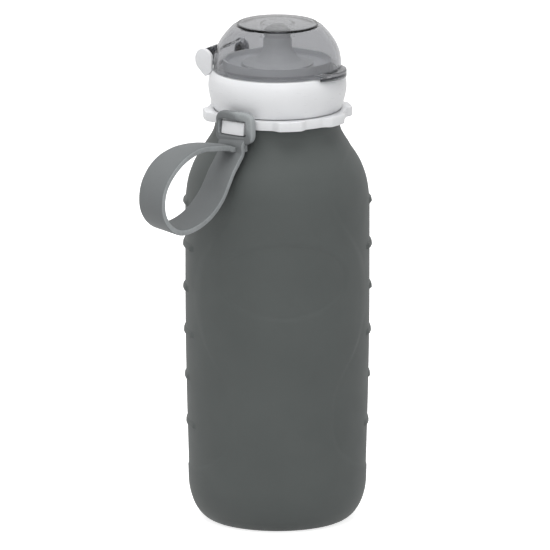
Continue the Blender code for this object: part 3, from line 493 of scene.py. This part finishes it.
# (share of the height, share of the flare) points
CAP_SIDE = ((0.0, -0.15), (0.03, 0.0), (0.12, 0.25), (0.22, 0.50), (0.39, 0.83), (0.55, 1.0),
            (0.70, 0.97), (0.84, 0.74), (0.93, 0.42), (0.98, 0.16), (1.0, 0.0))
DECK = CAP_BASE + CAP_HEIGHT
LIP_TOP = 0.1836
LIP_RADIUS = 0.0212
DISH_FLOOR = 0.1814
PLATE_HOLE = 0.0088
PLATE_UNDERSIDE = 0.1794
BOSS_BORE = 0.0108
BOSS_RADIUS = 0.0123
BOSS_FOOT = 0.1755
LAND_BORE = 0.0196
SEAL_LAND = 0.1775
LID_TURN = Matrix.Rotation(math.radians(-34), 4, "Z")
HINGE_REACH = 0.0254
HINGE_HEIGHT = DECK + 0.0041
BARREL_RADIUS = 0.0036
BARREL_HALF = 0.01122
EAR_GAP = 0.0003
EAR_RADIUS = 0.0035
EAR_RISE = 0.0042
EAR_WIDTH = 0.0030
EAR_ROOT_HEIGHT = 0.0069
EAR_ROOT = ((-1.17, -0.17), (-1.17, -0.60), (-0.90, -0.80), (-0.30, -1.0), (0.10, -0.82), (0.50, -0.60),
            (0.75, -0.46), (0.88, -0.35), (0.97, -0.20))
EAR_STEP = 0.0031
EAR_STEP_DEPTH = 0.0021
PIN_HOLE = 0.0017
PIN_HOLE_DEPTH = 0.0028
# (radius, height above the deck) points of the room that the dome's wall needs
DOME_ROOM = ((0.0233, 0.0002), (0.0252, 0.0002), (0.0251, 0.0024), (0.02495, 0.0046), (0.0247, 0.0062),
             (0.0243, 0.0078), (0.0233, 0.0095), (0.0233, 0.0002))
NUB_AT = math.radians(205)
NUB_REACH = 0.0224
NUB_HALVES = (0.0007, 0.0018, 0.0010)


def plate(corners, direction):
    """A flat outline of 3-D corners, extruded along a direction."""
    bm = bmesh.new()
    face = bm.faces.new([bm.verts.new(corner) for corner in corners])
    grown = bmesh.ops.extrude_face_region(bm, geom=[face])
    bmesh.ops.translate(bm, vec=direction, verts=[item for item in grown["geom"]
                                                  if isinstance(item, bmesh.types.BMVert)])
    bmesh.ops.recalc_face_normals(bm, faces=bm.faces)
    return bm


def pin(radius, start, length, steps=48):
    """A round bar that starts at a point and runs along Y, for a negative length towards -Y."""
    bm = bmesh.new()
    place = Matrix.Translation(Vector(start) + Vector((0, length / 2, 0))) @ Matrix.Rotation(math.pi / 2, 4, "X")
    bmesh.ops.create_cone(bm, cap_ends=True, segments=steps, radius1=radius, radius2=radius,
                          depth=abs(length), matrix=place)
    return bm


def worked(made, operation, bm, turn=None):
    """Join a bmesh to a piece, or cut it out of it, and keep the result as the piece's own mesh."""
    if turn is not None:
        bmesh.ops.transform(bm, matrix=turn, verts=bm.verts)
    tool = shown("working_tool", bm, made.data.materials[0])
    change = made.modifiers.new("work", "BOOLEAN")
    change.operation = operation
    change.object = tool
    view = bpy.context.evaluated_depsgraph_get()
    result = bpy.data.meshes.new_from_object(made.evaluated_get(view))
    made.modifiers.clear()
    made.data = result
    bm = bmesh.new()
    bm.from_mesh(result)
    weld(bm)
    bm.to_mesh(result)
    bm.free()
    result.set_sharp_from_angle(angle=SHARP_FROM)
    bpy.data.objects.remove(tool)


side = [(CAP_FOOT + CAP_FLARE * point.y, CAP_BASE + CAP_HEIGHT * point.x) for point in smoothed(CAP_SIDE, 4)]
inner = [(LIP_RADIUS + 0.0004, DECK), (LIP_RADIUS, DECK + 0.0004), (LIP_RADIUS, LIP_TOP),
         (LIP_RADIUS - 0.0009, LIP_TOP), (LIP_RADIUS - 0.0011, DISH_FLOOR + 0.0005),
         (LIP_RADIUS - 0.0016, DISH_FLOOR), (PLATE_HOLE, DISH_FLOOR), (PLATE_HOLE, PLATE_UNDERSIDE),
         (BOSS_BORE, PLATE_UNDERSIDE), (BOSS_BORE, BOSS_FOOT), (BOSS_RADIUS, BOSS_FOOT),
         (BOSS_RADIUS, PLATE_UNDERSIDE), (LAND_BORE, PLATE_UNDERSIDE), (LAND_BORE, SEAL_LAND),
         (CAP_BORE, SEAL_LAND), (CAP_BORE, CAP_BASE), side[0]]
bm = lathe(side + inner, CAP_STEPS)
soften(bm, 0.00025)
thread(bm, CAP_BORE, CAP_BORE - 0.0009, CAP_BASE + 0.0030, 1.6)
cap = shown("screw_cap", bm, plastic("white cap plastic", (227, 228, 230)))
lobe = [Vector((-HINGE_REACH - (EAR_RADIUS if turn < 90 else EAR_RISE) * math.cos(math.radians(turn)), 0,
                HINGE_HEIGHT + EAR_RISE * math.sin(math.radians(turn)))) for turn in range(0, 181, 6)]
lobe += [Vector((-HINGE_REACH - EAR_RADIUS * out, 0, HINGE_HEIGHT + EAR_ROOT_HEIGHT * up)) for out, up in EAR_ROOT]
step = [(math.cos(math.radians(turn)), math.sin(math.radians(turn))) for turn in range(0, 181, 10)]
step += [(-1, -0.1), (-2, -0.1), (-2, 2), (2, 2), (2, -0.1), (1, -0.1)]
for way in (-1, 1):
    face = way * (BARREL_HALF + EAR_GAP)
    bm = plate([corner + Vector((0, face, 0)) for corner in lobe], (0, way * EAR_WIDTH, 0))
    soften(bm, 0.0005, above=45)
    worked(cap, "UNION", bm, LID_TURN)
    # The lid's wall swings past the inner half of the ear, which is lower there
    bm = plate([(-HINGE_REACH - EAR_STEP * out, way * BARREL_HALF, HINGE_HEIGHT + EAR_STEP * up)
                for out, up in step], (0, way * EAR_STEP_DEPTH, 0))
    worked(cap, "DIFFERENCE", bm, LID_TURN)
    bm = pin(PIN_HOLE, (-HINGE_REACH, face - way * EAR_GAP, HINGE_HEIGHT), way * PIN_HOLE_DEPTH, 32)
    worked(cap, "DIFFERENCE", bm, LID_TURN)
# The dome's wall stands free of the ears' roots
worked(cap, "DIFFERENCE", lathe([(radius, DECK + up) for radius, up in DOME_ROOM], CAP_STEPS))
bm = bmesh.new()
bmesh.ops.create_uvsphere(bm, u_segments=24, v_segments=12, radius=1)
worked(cap, "UNION", bm, Matrix.Rotation(NUB_AT, 4, "Z") @ Matrix.Translation((NUB_REACH, 0, DECK))
       @ Matrix.Diagonal(NUB_HALVES + (1,)))
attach(cap, "cap")
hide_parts("cap_shell")


# Cap gasket. A flat ring punched or moulded from pale silicone lies under the cap's land and seals the neck.

GASKET_BORE = 0.0194
GASKET_RADIUS = 0.0218
GASKET_BASE = 0.1754
GASKET_TOP = 0.1772


def tube(bore, radius, base, top, steps):
    """A round tube with square ends."""
    return lathe([(bore, base), (bore, top), (radius, top), (radius, base), (bore, base)], steps)


bm = tube(GASKET_BORE, GASKET_RADIUS, GASKET_BASE, GASKET_TOP, 128)
soften(bm, 0.0003)
gasket = shown("neck_gasket", bm, silicone("pale silicone", (222, 223, 224), 0.5, 0.00001))
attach(gasket, "seal")
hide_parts("cap_gasket")


# Drinking spout. A soft silicone nozzle with a wide trumpet foot is buttoned through the hole in the cap:
# the foot lies on the dish, a groove takes the cap's plate, and a flange below it keeps the spout in.

SPOUT_SEAT = DISH_FLOOR + 0.0003
SPOUT_TOP = 0.1958
SPOUT_TIP = ((0.0044, 0.0003), (0.0040, 0), (0.0036, 0), (0.0032, 0.0003))
SPOUT_BORE = 0.0031
SPOUT_THROAT = 0.0056
SPOUT_GROOVE = 0.0085
SPOUT_FOOT = 0.0138
SPOUT_FLANGE = 0.0105
SPOUT_FLANGE_BASE = 0.1779
SPOUT_FLANGE_TOP = 0.1791
FLARE = ((0.0140, 0.0003), (0.01165, 0.0008), (0.0094, 0.00127), (0.0082, 0.0022), (0.0073, 0.0033),
         (0.0061, 0.0051), (0.0055, 0.0071), (0.0055, 0.0097), (0.00515, 0.0118), (0.0048, 0.0129))

rows = [(point.x, SPOUT_SEAT + point.y) for point in smoothed(FLARE, 4)]
tip = [(radius, SPOUT_TOP - drop) for radius, drop in SPOUT_TIP]
under = [(SPOUT_BORE, SPOUT_TOP - 0.0010), (SPOUT_BORE, SPOUT_SEAT + 0.0070), (SPOUT_THROAT, SPOUT_SEAT),
         (SPOUT_THROAT, SPOUT_FLANGE_BASE), (SPOUT_FLANGE, SPOUT_FLANGE_BASE), (SPOUT_FLANGE, SPOUT_FLANGE_TOP),
         (SPOUT_GROOVE, SPOUT_FLANGE_TOP), (SPOUT_GROOVE, SPOUT_SEAT), (SPOUT_FOOT, SPOUT_SEAT), rows[0]]
bm = lathe(rows + tip + under, 128)
soften(bm, 0.0002, above=35)
spout = shown("drinking_spout", bm, silicone("milky spout silicone", (217, 218, 219), 0.42, 0.00001))
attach(spout, "cap")
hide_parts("spout")


# Spill valve. A thin silicone disc with a thick rim is pressed into the boss under the spout. Two crossed
# slits keep it shut until the body is squeezed.

VALVE_TOP = 0.1776
VALVE_BASE = 0.1760
VALVE_SIDE = ((0, 0.0006), (0.0086, 0.0005), (0.0091, 0), (0.0105, 0))
SLIT = (0.0070, 0.0002, 0.0080)

bm = lathe([(radius, VALVE_BASE + inset) for radius, inset in VALVE_SIDE]
           + [(radius, VALVE_TOP - inset) for radius, inset in VALVE_SIDE[::-1]], 128)
soften(bm, 0.00015)
valve = shown("slit_valve", bm, silicone("clear valve silicone", (212, 214, 217), 0.38, 0.00001))
for way in (0, math.pi / 2):
    bm = bmesh.new()
    bmesh.ops.create_cube(bm, size=1)
    worked(valve, "DIFFERENCE", bm, Matrix.Translation((0, 0, VALVE_BASE)) @ Matrix.Rotation(way, 4, "Z")
           @ Matrix.Diagonal(SLIT + (1,)))
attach(valve, "cap")
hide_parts("spill_valve")


# Dome lid. A see-through smoke-grey polycarbonate shell, 1.4 mm thick and polished, with a flat disc on top,
# a short socket that covers the spout's tip, a thumb tab, and a barrel whose pins snap into the cap's ears.

DOME_STEPS = 160
DOME_BASE = DECK + 0.0003
DOME_TOP = 0.1981
DOME_RADIUS = 0.0250
DOME_WALL = 0.0014
# (height, radius) points of the wall
DOME_SIDE = ((0.0, 0.0250), (0.0021, 0.02492), (0.0043, 0.02475), (0.0059, 0.0245), (0.0075, 0.02414),
             (0.0090, 0.02355), (0.0106, 0.0228), (0.0122, 0.0218), (0.0138, 0.0206), (0.0150, 0.0196),
             (0.0161, 0.0186), (0.0169, 0.0177), (0.0173, 0.0169))
DISC_RADIUS = 0.0160
DISC_FOOT = DOME_TOP - 0.0016
DISC_EDGE = DOME_TOP - 0.0007
# (inset, drop) points of the disc's edge, and below them (radius, drop) points of the hollow's arch
CROWN = ((0.0, 0.00135), (0.0, 0.00080), (0.00010, 0.00058), (0.0003, 0.00042), (0.0007, 0.00030),
         (0.0013, 0.00024), (0.0040, 0.00012), (0.0080, 0.00003))
HOLLOW_FOOT = DOME_BASE - 0.0030
ARCH_BASE = DOME_TOP - 0.0030
ARCH = ((0.0157, 0.0024), (0.0140, 0.0019), (0.0118, 0.00155), (0.0090, 0.00142), (0, DOME_WALL))
TAB_HALF_ANGLE = math.radians(28)
TAB_REACH = 0.0042
TAB_HEIGHT = 0.0020
TAB_LIP_START = 0.0261
TAB_LIP_DROP = 0.0010
WEB = ((1.78, 1.64), (1.15, 1.50), (0.64, 1.25), (0.0, 1.0), (0.0, 0.0), (1.78, 0.0))
SOCKET_BORE = 0.0057
SOCKET_RADIUS = 0.0068
SOCKET_FOOT = 0.1928
SOCKET_TOP = 0.1971
PIN_RADIUS = 0.0014
PIN_LENGTH = 0.0045
PIN_SUNK = 0.0020


def smoke(name):
    """Clear plastic with a smoke tint, polished, with a faint ripple and wiping marks. Only the outer surfaces
    carry the tint. Painted shade darkens the thick rim and the tab at the dome's foot, a painted dark line runs
    round the edge of its disc, and the top disc carries a deeper tint."""
    made, nodes = finish(name, {"Roughness": 0.04, "IOR": 1.25, "Transmission Weight": 1.0})
    place = nodes.made("ShaderNodeTexCoord", give="Object")
    height = nodes.made("ShaderNodeSeparateXYZ", sockets={"Vector": place}, give="Z")
    flat = nodes.made("ShaderNodeVectorMath", {"operation": "MULTIPLY"}, {0: place, 1: (1, 1, 0)})
    radius = nodes.made("ShaderNodeVectorMath", {"operation": "LENGTH"}, {0: flat}, give="Value")
    rim = radius.math("GREATER_THAN", DISC_RADIUS - 0.0002) * radius.math("LESS_THAN", DISC_RADIUS + 0.00005)
    line = height.math("GREATER_THAN", DISC_FOOT) * height.math("LESS_THAN", DISC_EDGE)
    # Painted shade: seen from outside, the step round the disc is painted as a dark line
    front = 1 - nodes.made("ShaderNodeNewGeometry", give="Backfacing")
    top = height.math("GREATER_THAN", DISC_EDGE)
    # Painted shade darkens the dome's foot and the line at the disc's edge; the top disc gets a deeper tint
    dark = height.ramp(DOME_BASE + 0.0024, DOME_BASE + 0.0018, 0.4) + rim * line * front * 0.7 + top * 0.4
    outer = 1 - nodes.made("ShaderNodeAttribute", {"attribute_name": "inside"}, give="Fac")
    tint = (place.noise(30, 2) * 0.4 + dark) * outer
    tint.colour((0.0, (1, 1, 1, 1)), (0.1, tone((160, 161, 164))), (0.3, tone((166, 167, 170))),
                (0.9, tone((98, 99, 101))), (1.0, tone((56, 57, 59))))
    (place.noise(190, 4) * 0.06 + 0.01).feed("Roughness")
    place.noise(90, 1).bump(0.15, 0.00004)
    return made


side = [(point.y, DOME_BASE + point.x) for point in smoothed(DOME_SIDE, 5)]
crown = [(DISC_RADIUS - inset, DOME_TOP - drop) for inset, drop in CROWN]
lid = shown("dome_shell", lathe([(0, DOME_BASE), (side[0][0] - 0.0003, DOME_BASE)] + side[1:] + crown
                                + [(0, DOME_TOP)], DOME_STEPS), smoke("smoke plastic"))
outline = []
for step in range(1, 32):
    turn = TAB_HALF_ANGLE * (step / 16 - 1)
    swell = math.cos(math.pi / 2 * turn / TAB_HALF_ANGLE) ** 0.8
    radius = DOME_RADIUS - DOME_WALL / 2 + (TAB_REACH + DOME_WALL / 2) * swell
    outline.append((radius * math.cos(turn), radius * math.sin(turn), DOME_BASE))
for turn in (TAB_HALF_ANGLE, 0, -TAB_HALF_ANGLE):
    radius = DOME_RADIUS - DOME_WALL
    outline.append((radius * math.cos(turn), radius * math.sin(turn), DOME_BASE))
bm = plate(outline, (0, 0, TAB_HEIGHT))
soften(bm, 0.0005, above=40)
worked(lid, "UNION", bm, LID_TURN)
# The tab's outer part hangs a little over the cap's shoulder
lip = [Vector((x, y)) for x, y, z in outline[:-3] if math.hypot(x, y) > TAB_LIP_START + 0.0003]
lip += [corner * (TAB_LIP_START / corner.length) for corner in lip[::-1]]
bm = plate([(corner.x, corner.y, DOME_BASE - TAB_LIP_DROP) for corner in lip], (0, 0, TAB_LIP_DROP * 2))
soften(bm, 0.0003, above=40)
worked(lid, "UNION", bm, LID_TURN)
bm = pin(BARREL_RADIUS, (-HINGE_REACH, -BARREL_HALF, HINGE_HEIGHT), BARREL_HALF * 2, 64)
soften(bm, 0.0003, above=60)
worked(lid, "UNION", bm, LID_TURN)
bm = plate([(-HINGE_REACH + BARREL_RADIUS * out, -BARREL_HALF + EAR_GAP, HINGE_HEIGHT + BARREL_RADIUS * up)
            for out, up in WEB], (0, (BARREL_HALF - EAR_GAP) * 2, 0))
worked(lid, "UNION", bm, LID_TURN)
hollow = [(0, HOLLOW_FOOT), (DOME_RADIUS - DOME_WALL, HOLLOW_FOOT)]
for below, place, above in zip(side, side[1:], side[2:]):
    outward = Vector((above[1] - below[1], below[0] - above[0])).normalized() * DOME_WALL
    if place[1] - outward.y < ARCH_BASE:
        hollow.append((place[0] - outward.x, place[1] - outward.y))
arch = [hollow[-1]] + [(radius, DOME_TOP - drop) for radius, drop in ARCH]
hollow += [(point.x, point.y) for point in smoothed(arch, 4)[1:]]
worked(lid, "DIFFERENCE", lathe(hollow, DOME_STEPS))
bm = tube(SOCKET_BORE, SOCKET_RADIUS, SOCKET_FOOT, SOCKET_TOP, 96)
soften(bm, 0.0003)
worked(lid, "UNION", bm)
for way in (-1, 1):
    bm = pin(PIN_RADIUS, (-HINGE_REACH, way * (BARREL_HALF - PIN_SUNK), HINGE_HEIGHT), way * PIN_LENGTH, 32)
    worked(lid, "UNION", bm, LID_TURN)
# The material reads which points are on the dome's inside
spots = points_of(lid)
reach, level = np.hypot(spots[:, 0], spots[:, 1]), spots[:, 2]
within = (reach < wall_at(level, side) - DOME_WALL / 2) & (level < DOME_TOP - 0.0012)
lid.data.attributes.new("inside", "FLOAT", "POINT").data.foreach_set("value", within.astype(np.float32))
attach(lid, "lid")
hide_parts("dome_lid")


# Carry strap. One flat silicone moulding: a rounded eyelet that is stretched over the ring's deep tooth, a
# wide band bent round into a loop, and a narrow tail that goes back through the slot in the band's own stem.
# The tail fills that slot, so the band is unbroken here and the tail runs through it.

LUG_TURN = Matrix.Rotation(math.radians(LUG_AT), 4, "Z")
LOOP_YAW = math.radians(-6)
BAR_REACH = 0.0294
BAR_HALF_DEPTH = 0.0018
BAR_HALF_HEIGHT = 0.0016
BAR_RIGHT = 0.00162
BAR_LEFT = 0.00054
BAR_LEFT_INSET = 0.0005
EYELET_TOP = 0.1660
EYELET_FOOT = 0.1567
EYELET_HALF = 0.0076
EYELET_CORNER = 0.0024
BAND_WIDTH = 0.0120
BAND_THICKNESS = 0.0023
BAND_CORNER = 0.0005
TAIL_WIDTH = 0.0062
BUTTON_WIDTH = 0.0096
BUTTON_THICKNESS = 0.0032
BUTTON_POINTS = 13
STEM_REACH = BAR_REACH + BAR_HALF_DEPTH
SLOT_TOP = EYELET_FOOT - BAR_HALF_HEIGHT
SLOT_BASE = SLOT_TOP - 0.0032
LOOP_REACH = 0.0476
LOOP_DROP = 0.0310
LOOP_LEAN = 0.0140
LEAN_SHARE = 0.76
# (share of the reach, share of the drop) points of the band's way round
WIDE_LOOP = ((-0.013, 0.25), (0.010, 0.37), (0.017, 0.5), (0.028, 0.64), (0.068, 0.76), (0.160, 0.85),
             (0.280, 0.92), (0.427, 0.955), (0.55, 0.925), (0.655, 0.82), (0.755, 0.67), (0.832, 0.50),
             (0.864, 0.34), (0.842, 0.19), (0.77, 0.075), (0.66, 0.01), (0.55, -0.01))
TAPERED_LOOP = ((0.43, -0.005), (0.31, 0.02), (0.203, 0.045), (0.092, 0.078))
TAIL_STEPS = (1, -0.8, -1, -1.7)
LOOP_PARTS = 6
LOOP_TWIST = 0.12
TWIST_START = 0.036
TWIST_RUN = 0.010
CORNERS = ((1, 1), (-1, 1), (-1, -1), (1, -1))


def swept(path, sizes, closed=False, across=(0, 1, 0)):
    """A flat band with rounded corners along a path. sizes gives each point's half width, half thickness and
    corner radius, and across is the direction of its width."""
    bm = bmesh.new()
    wide = Vector(across)
    last = len(path) - 1
    rings = []
    loops = []
    for index, place in enumerate(path):
        if closed:
            along = path[(index + 1) % len(path)] - path[index - 1]
        else:
            along = path[min(index + 1, last)] - path[max(index - 1, 0)]
        out = wide.cross(along).normalized()
        half_width, half_thickness, corner = sizes[index]
        ring = []
        for quarter, (aside, rise) in enumerate(CORNERS):
            for step in range(5):
                turn = math.pi / 2 * (quarter + step / 4)
                x = aside * (half_width - corner) + corner * math.cos(turn)
                y = rise * (half_thickness - corner) + corner * math.sin(turn)
                ring.append(bm.verts.new(place + wide * x + out * y))
        rings.append(ring)
        loops.append([bm.edges.new(pair) for pair in zip(ring, ring[1:] + ring[:1])])
    for ring, following in list(zip(loops, loops[1:])) + ([(loops[-1], loops[0])] if closed else []):
        bmesh.ops.bridge_loops(bm, edges=ring + following)
    if not closed:
        bm.faces.new(rings[0])
        bm.faces.new(rings[-1])
    bmesh.ops.recalc_face_normals(bm, faces=bm.faces)
    return bm


def loop_point(out, down):
    """A point that leans out with the shoulder as it hangs down, and then out along the loop."""
    lean = LOOP_LEAN * min(1, down / LEAN_SHARE)
    return Vector((BAR_REACH + lean + LOOP_REACH * out, 0, EYELET_FOOT - LOOP_DROP * down))


stem = [Vector((BAR_REACH, 0, EYELET_FOOT)), Vector((STEM_REACH, 0, SLOT_TOP)), Vector((STEM_REACH, 0, SLOT_BASE))]
run = [loop_point(out, down) for out, down in WIDE_LOOP + TAPERED_LOOP]
tail = [Vector((STEM_REACH + step * BAND_THICKNESS, 0, (SLOT_TOP + SLOT_BASE) / 2)) for step in TAIL_STEPS]
path = smoothed(stem + run + tail, LOOP_PARTS)
taper_from = (len(stem) + len(WIDE_LOOP) - 4) * LOOP_PARTS
taper_to = (len(stem) + len(run) - 3) * LOOP_PARTS
sizes = []
for index in range(len(path)):
    narrowing = eased(clamped((index - taper_from) / (taper_to - taper_from)))
    button = clamped((index - len(path) + BUTTON_POINTS) / LOOP_PARTS)
    width = BAND_WIDTH + (TAIL_WIDTH - BAND_WIDTH) * narrowing + (BUTTON_WIDTH - TAIL_WIDTH) * button
    thickness = BAND_THICKNESS + (BUTTON_THICKNESS - BAND_THICKNESS) * button
    sizes.append((width / 2, thickness / 2, BAND_CORNER))
bm = swept(path, sizes)
for vert in bm.verts:
    vert.co.z -= LOOP_TWIST * vert.co.y * eased(clamped((vert.co.x - TWIST_START) / TWIST_RUN))
bmesh.ops.rotate(bm, cent=(BAR_REACH, 0, 0), matrix=Matrix.Rotation(LOOP_YAW, 3, "Z"), verts=bm.verts)
bmesh.ops.transform(bm, matrix=LUG_TURN, verts=bm.verts)
# The eyelet is painted paler towards its top on one side, and the band's side edges paler, as painted highlights
strap = shown("loop_strap", bm, silicone("strap silicone", (112, 115, 116), 0.52, painted_light_from=0.1635,
                                        painted_light_way=LUG_TURN @ Vector((0, 1, 1)),
                                        painted_edge_way=LUG_TURN @ Vector((0, 1, 0))))
corners = []
sizes = []
for quarter, (aside, rise) in enumerate(CORNERS):
    narrow = BAR_RIGHT if aside > 0 else BAR_LEFT
    corner = Vector((BAR_REACH, aside * (EYELET_HALF - EYELET_CORNER) + BAR_LEFT_INSET * (aside < 0),
                     (EYELET_TOP + EYELET_FOOT) / 2 + rise * ((EYELET_TOP - EYELET_FOOT) / 2 - EYELET_CORNER)))
    for step in range(9):
        turn = math.pi / 2 * (quarter + step / 8)
        corners.append(corner + Vector((0, EYELET_CORNER * math.cos(turn), EYELET_CORNER * math.sin(turn))))
        bar = narrow + (BAR_HALF_HEIGHT - narrow) * abs(math.sin(turn))
        sizes.append((BAR_HALF_DEPTH, bar, min(0.0010, bar * 0.8)))
bm = swept(corners, sizes, closed=True, across=(1, 0, 0))
worked(strap, "UNION", bm, LUG_TURN)
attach(strap, "strap")
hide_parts("carry_strap")


# Studio. A white sweep of paper, which shows pure white to the camera and in reflections and still takes the
# bottle's soft shadow, a white sky that gives more light from overhead, two softboxes, and the long lens of a
# catalogue picture.

CAMERA_AZIMUTH = -4.4
CAMERA_ELEVATION = 13
CAMERA_DISTANCE = 8.0
SENSOR_WIDTH = 36
FRAME_WIDTH = 550 * 0.0003905
AIM_ASIDE = -0.000957
AIM_HEIGHT = 0.09687
LAMP_AIM = Vector((0, 0, 0.1))
LAMP_DISTANCE = 1.2


def rays(nodes):
    """Whether a ray comes from the camera, off a gloss, or through clear plastic."""
    return [nodes.made("ShaderNodeLightPath", give=kind)
            for kind in ("Is Camera Ray", "Is Glossy Ray", "Is Transmission Ray")]


def aimed(made, azimuth, elevation, target, distance):
    """Put an object in the scene at a distance from its target, by degrees round from the front and up."""
    turn, lift = math.radians(azimuth), math.radians(elevation)
    away = Vector((math.sin(turn) * math.cos(lift), -math.cos(turn) * math.cos(lift), math.sin(lift)))
    made.location = target + away * distance
    made.rotation_mode = "QUATERNION"
    made.rotation_quaternion = (-away).to_track_quat("-Z", "Y")
    bpy.context.scene.collection.objects.link(made)


def softbox(name, azimuth, elevation, size, watts):
    """A square area lamp that faces the bottle's middle."""
    lamp = bpy.data.lights.new(name, "AREA")
    lamp.size = size
    lamp.energy = watts
    made = bpy.data.objects.new(name, lamp)
    made.visible_glossy = False
    aimed(made, azimuth, elevation, LAMP_AIM, LAMP_DISTANCE)


bm = bmesh.new()
bmesh.ops.create_circle(bm, cap_ends=True, segments=64, radius=6)
paper = bpy.data.materials.new("white paper")
paper.use_nodes = True
nodes = Shade(paper.node_tree)
for node in list(paper.node_tree.nodes):
    if node.type == "BSDF_PRINCIPLED":
        paper.node_tree.nodes.remove(node)
seen, mirrored, passed = rays(nodes)
glow = nodes.made("ShaderNodeEmission", sockets={"Strength": seen * 0.78})
lit = nodes.made("ShaderNodeBsdfDiffuse", sockets={"Color": (0.86, 0.86, 0.86, 1)})
both = nodes.made("ShaderNodeAddShader", sockets={0: glow, 1: lit})
white = nodes.made("ShaderNodeEmission")
clear = nodes.made("ShaderNodeMixShader", sockets={0: mirrored.math("MAXIMUM", passed), 1: both, 2: white})
paper.node_tree.links.new(clear.socket, paper.node_tree.nodes["Material Output"].inputs["Surface"])
floor = shown("paper_floor", bm, paper)

sky = bpy.data.worlds.new("white sky")
bpy.context.scene.world = sky
sky.use_nodes = True
nodes = Shade(sky.node_tree)
back = sky.node_tree.nodes["Background"]
back.inputs["Color"].default_value = (1, 1, 1, 1)
seen, mirrored, passed = rays(nodes)
direct = nodes.made("ShaderNodeLightPath", give="Diffuse Depth").math("LESS_THAN", 0.5)
way = nodes.made("ShaderNodeTexCoord", give="Generated")
up = nodes.made("ShaderNodeSeparateXYZ", sockets={"Vector": way}, give="Z").math("MAXIMUM", 0)
soft = up * 0.34 + 0.32 + passed * (up * 0.52 - 0.08)
level = seen.math("MAXIMUM", mirrored).math("MAXIMUM", passed) * direct * (1 - soft) + soft
sky.node_tree.links.new(level.socket, back.inputs["Strength"])

softbox("overhead_softbox", -20, 80, 1.0, 9.0)
softbox("front_softbox", -12, 30, 0.7, 3.2)

camera = bpy.data.cameras.new("catalogue_camera")
camera.sensor_width = SENSOR_WIDTH
camera.lens = SENSOR_WIDTH * CAMERA_DISTANCE / FRAME_WIDTH
camera.clip_start = 0.1
camera.clip_end = 50
viewpoint = bpy.data.objects.new("catalogue_camera", camera)
yaw = math.radians(CAMERA_AZIMUTH)
aim = Vector((math.cos(yaw) * AIM_ASIDE, math.sin(yaw) * AIM_ASIDE, AIM_HEIGHT))
aimed(viewpoint, CAMERA_AZIMUTH, CAMERA_ELEVATION, aim, CAMERA_DISTANCE)
bpy.context.scene.camera = viewpoint
bpy.context.scene.view_settings.view_transform = "Standard"
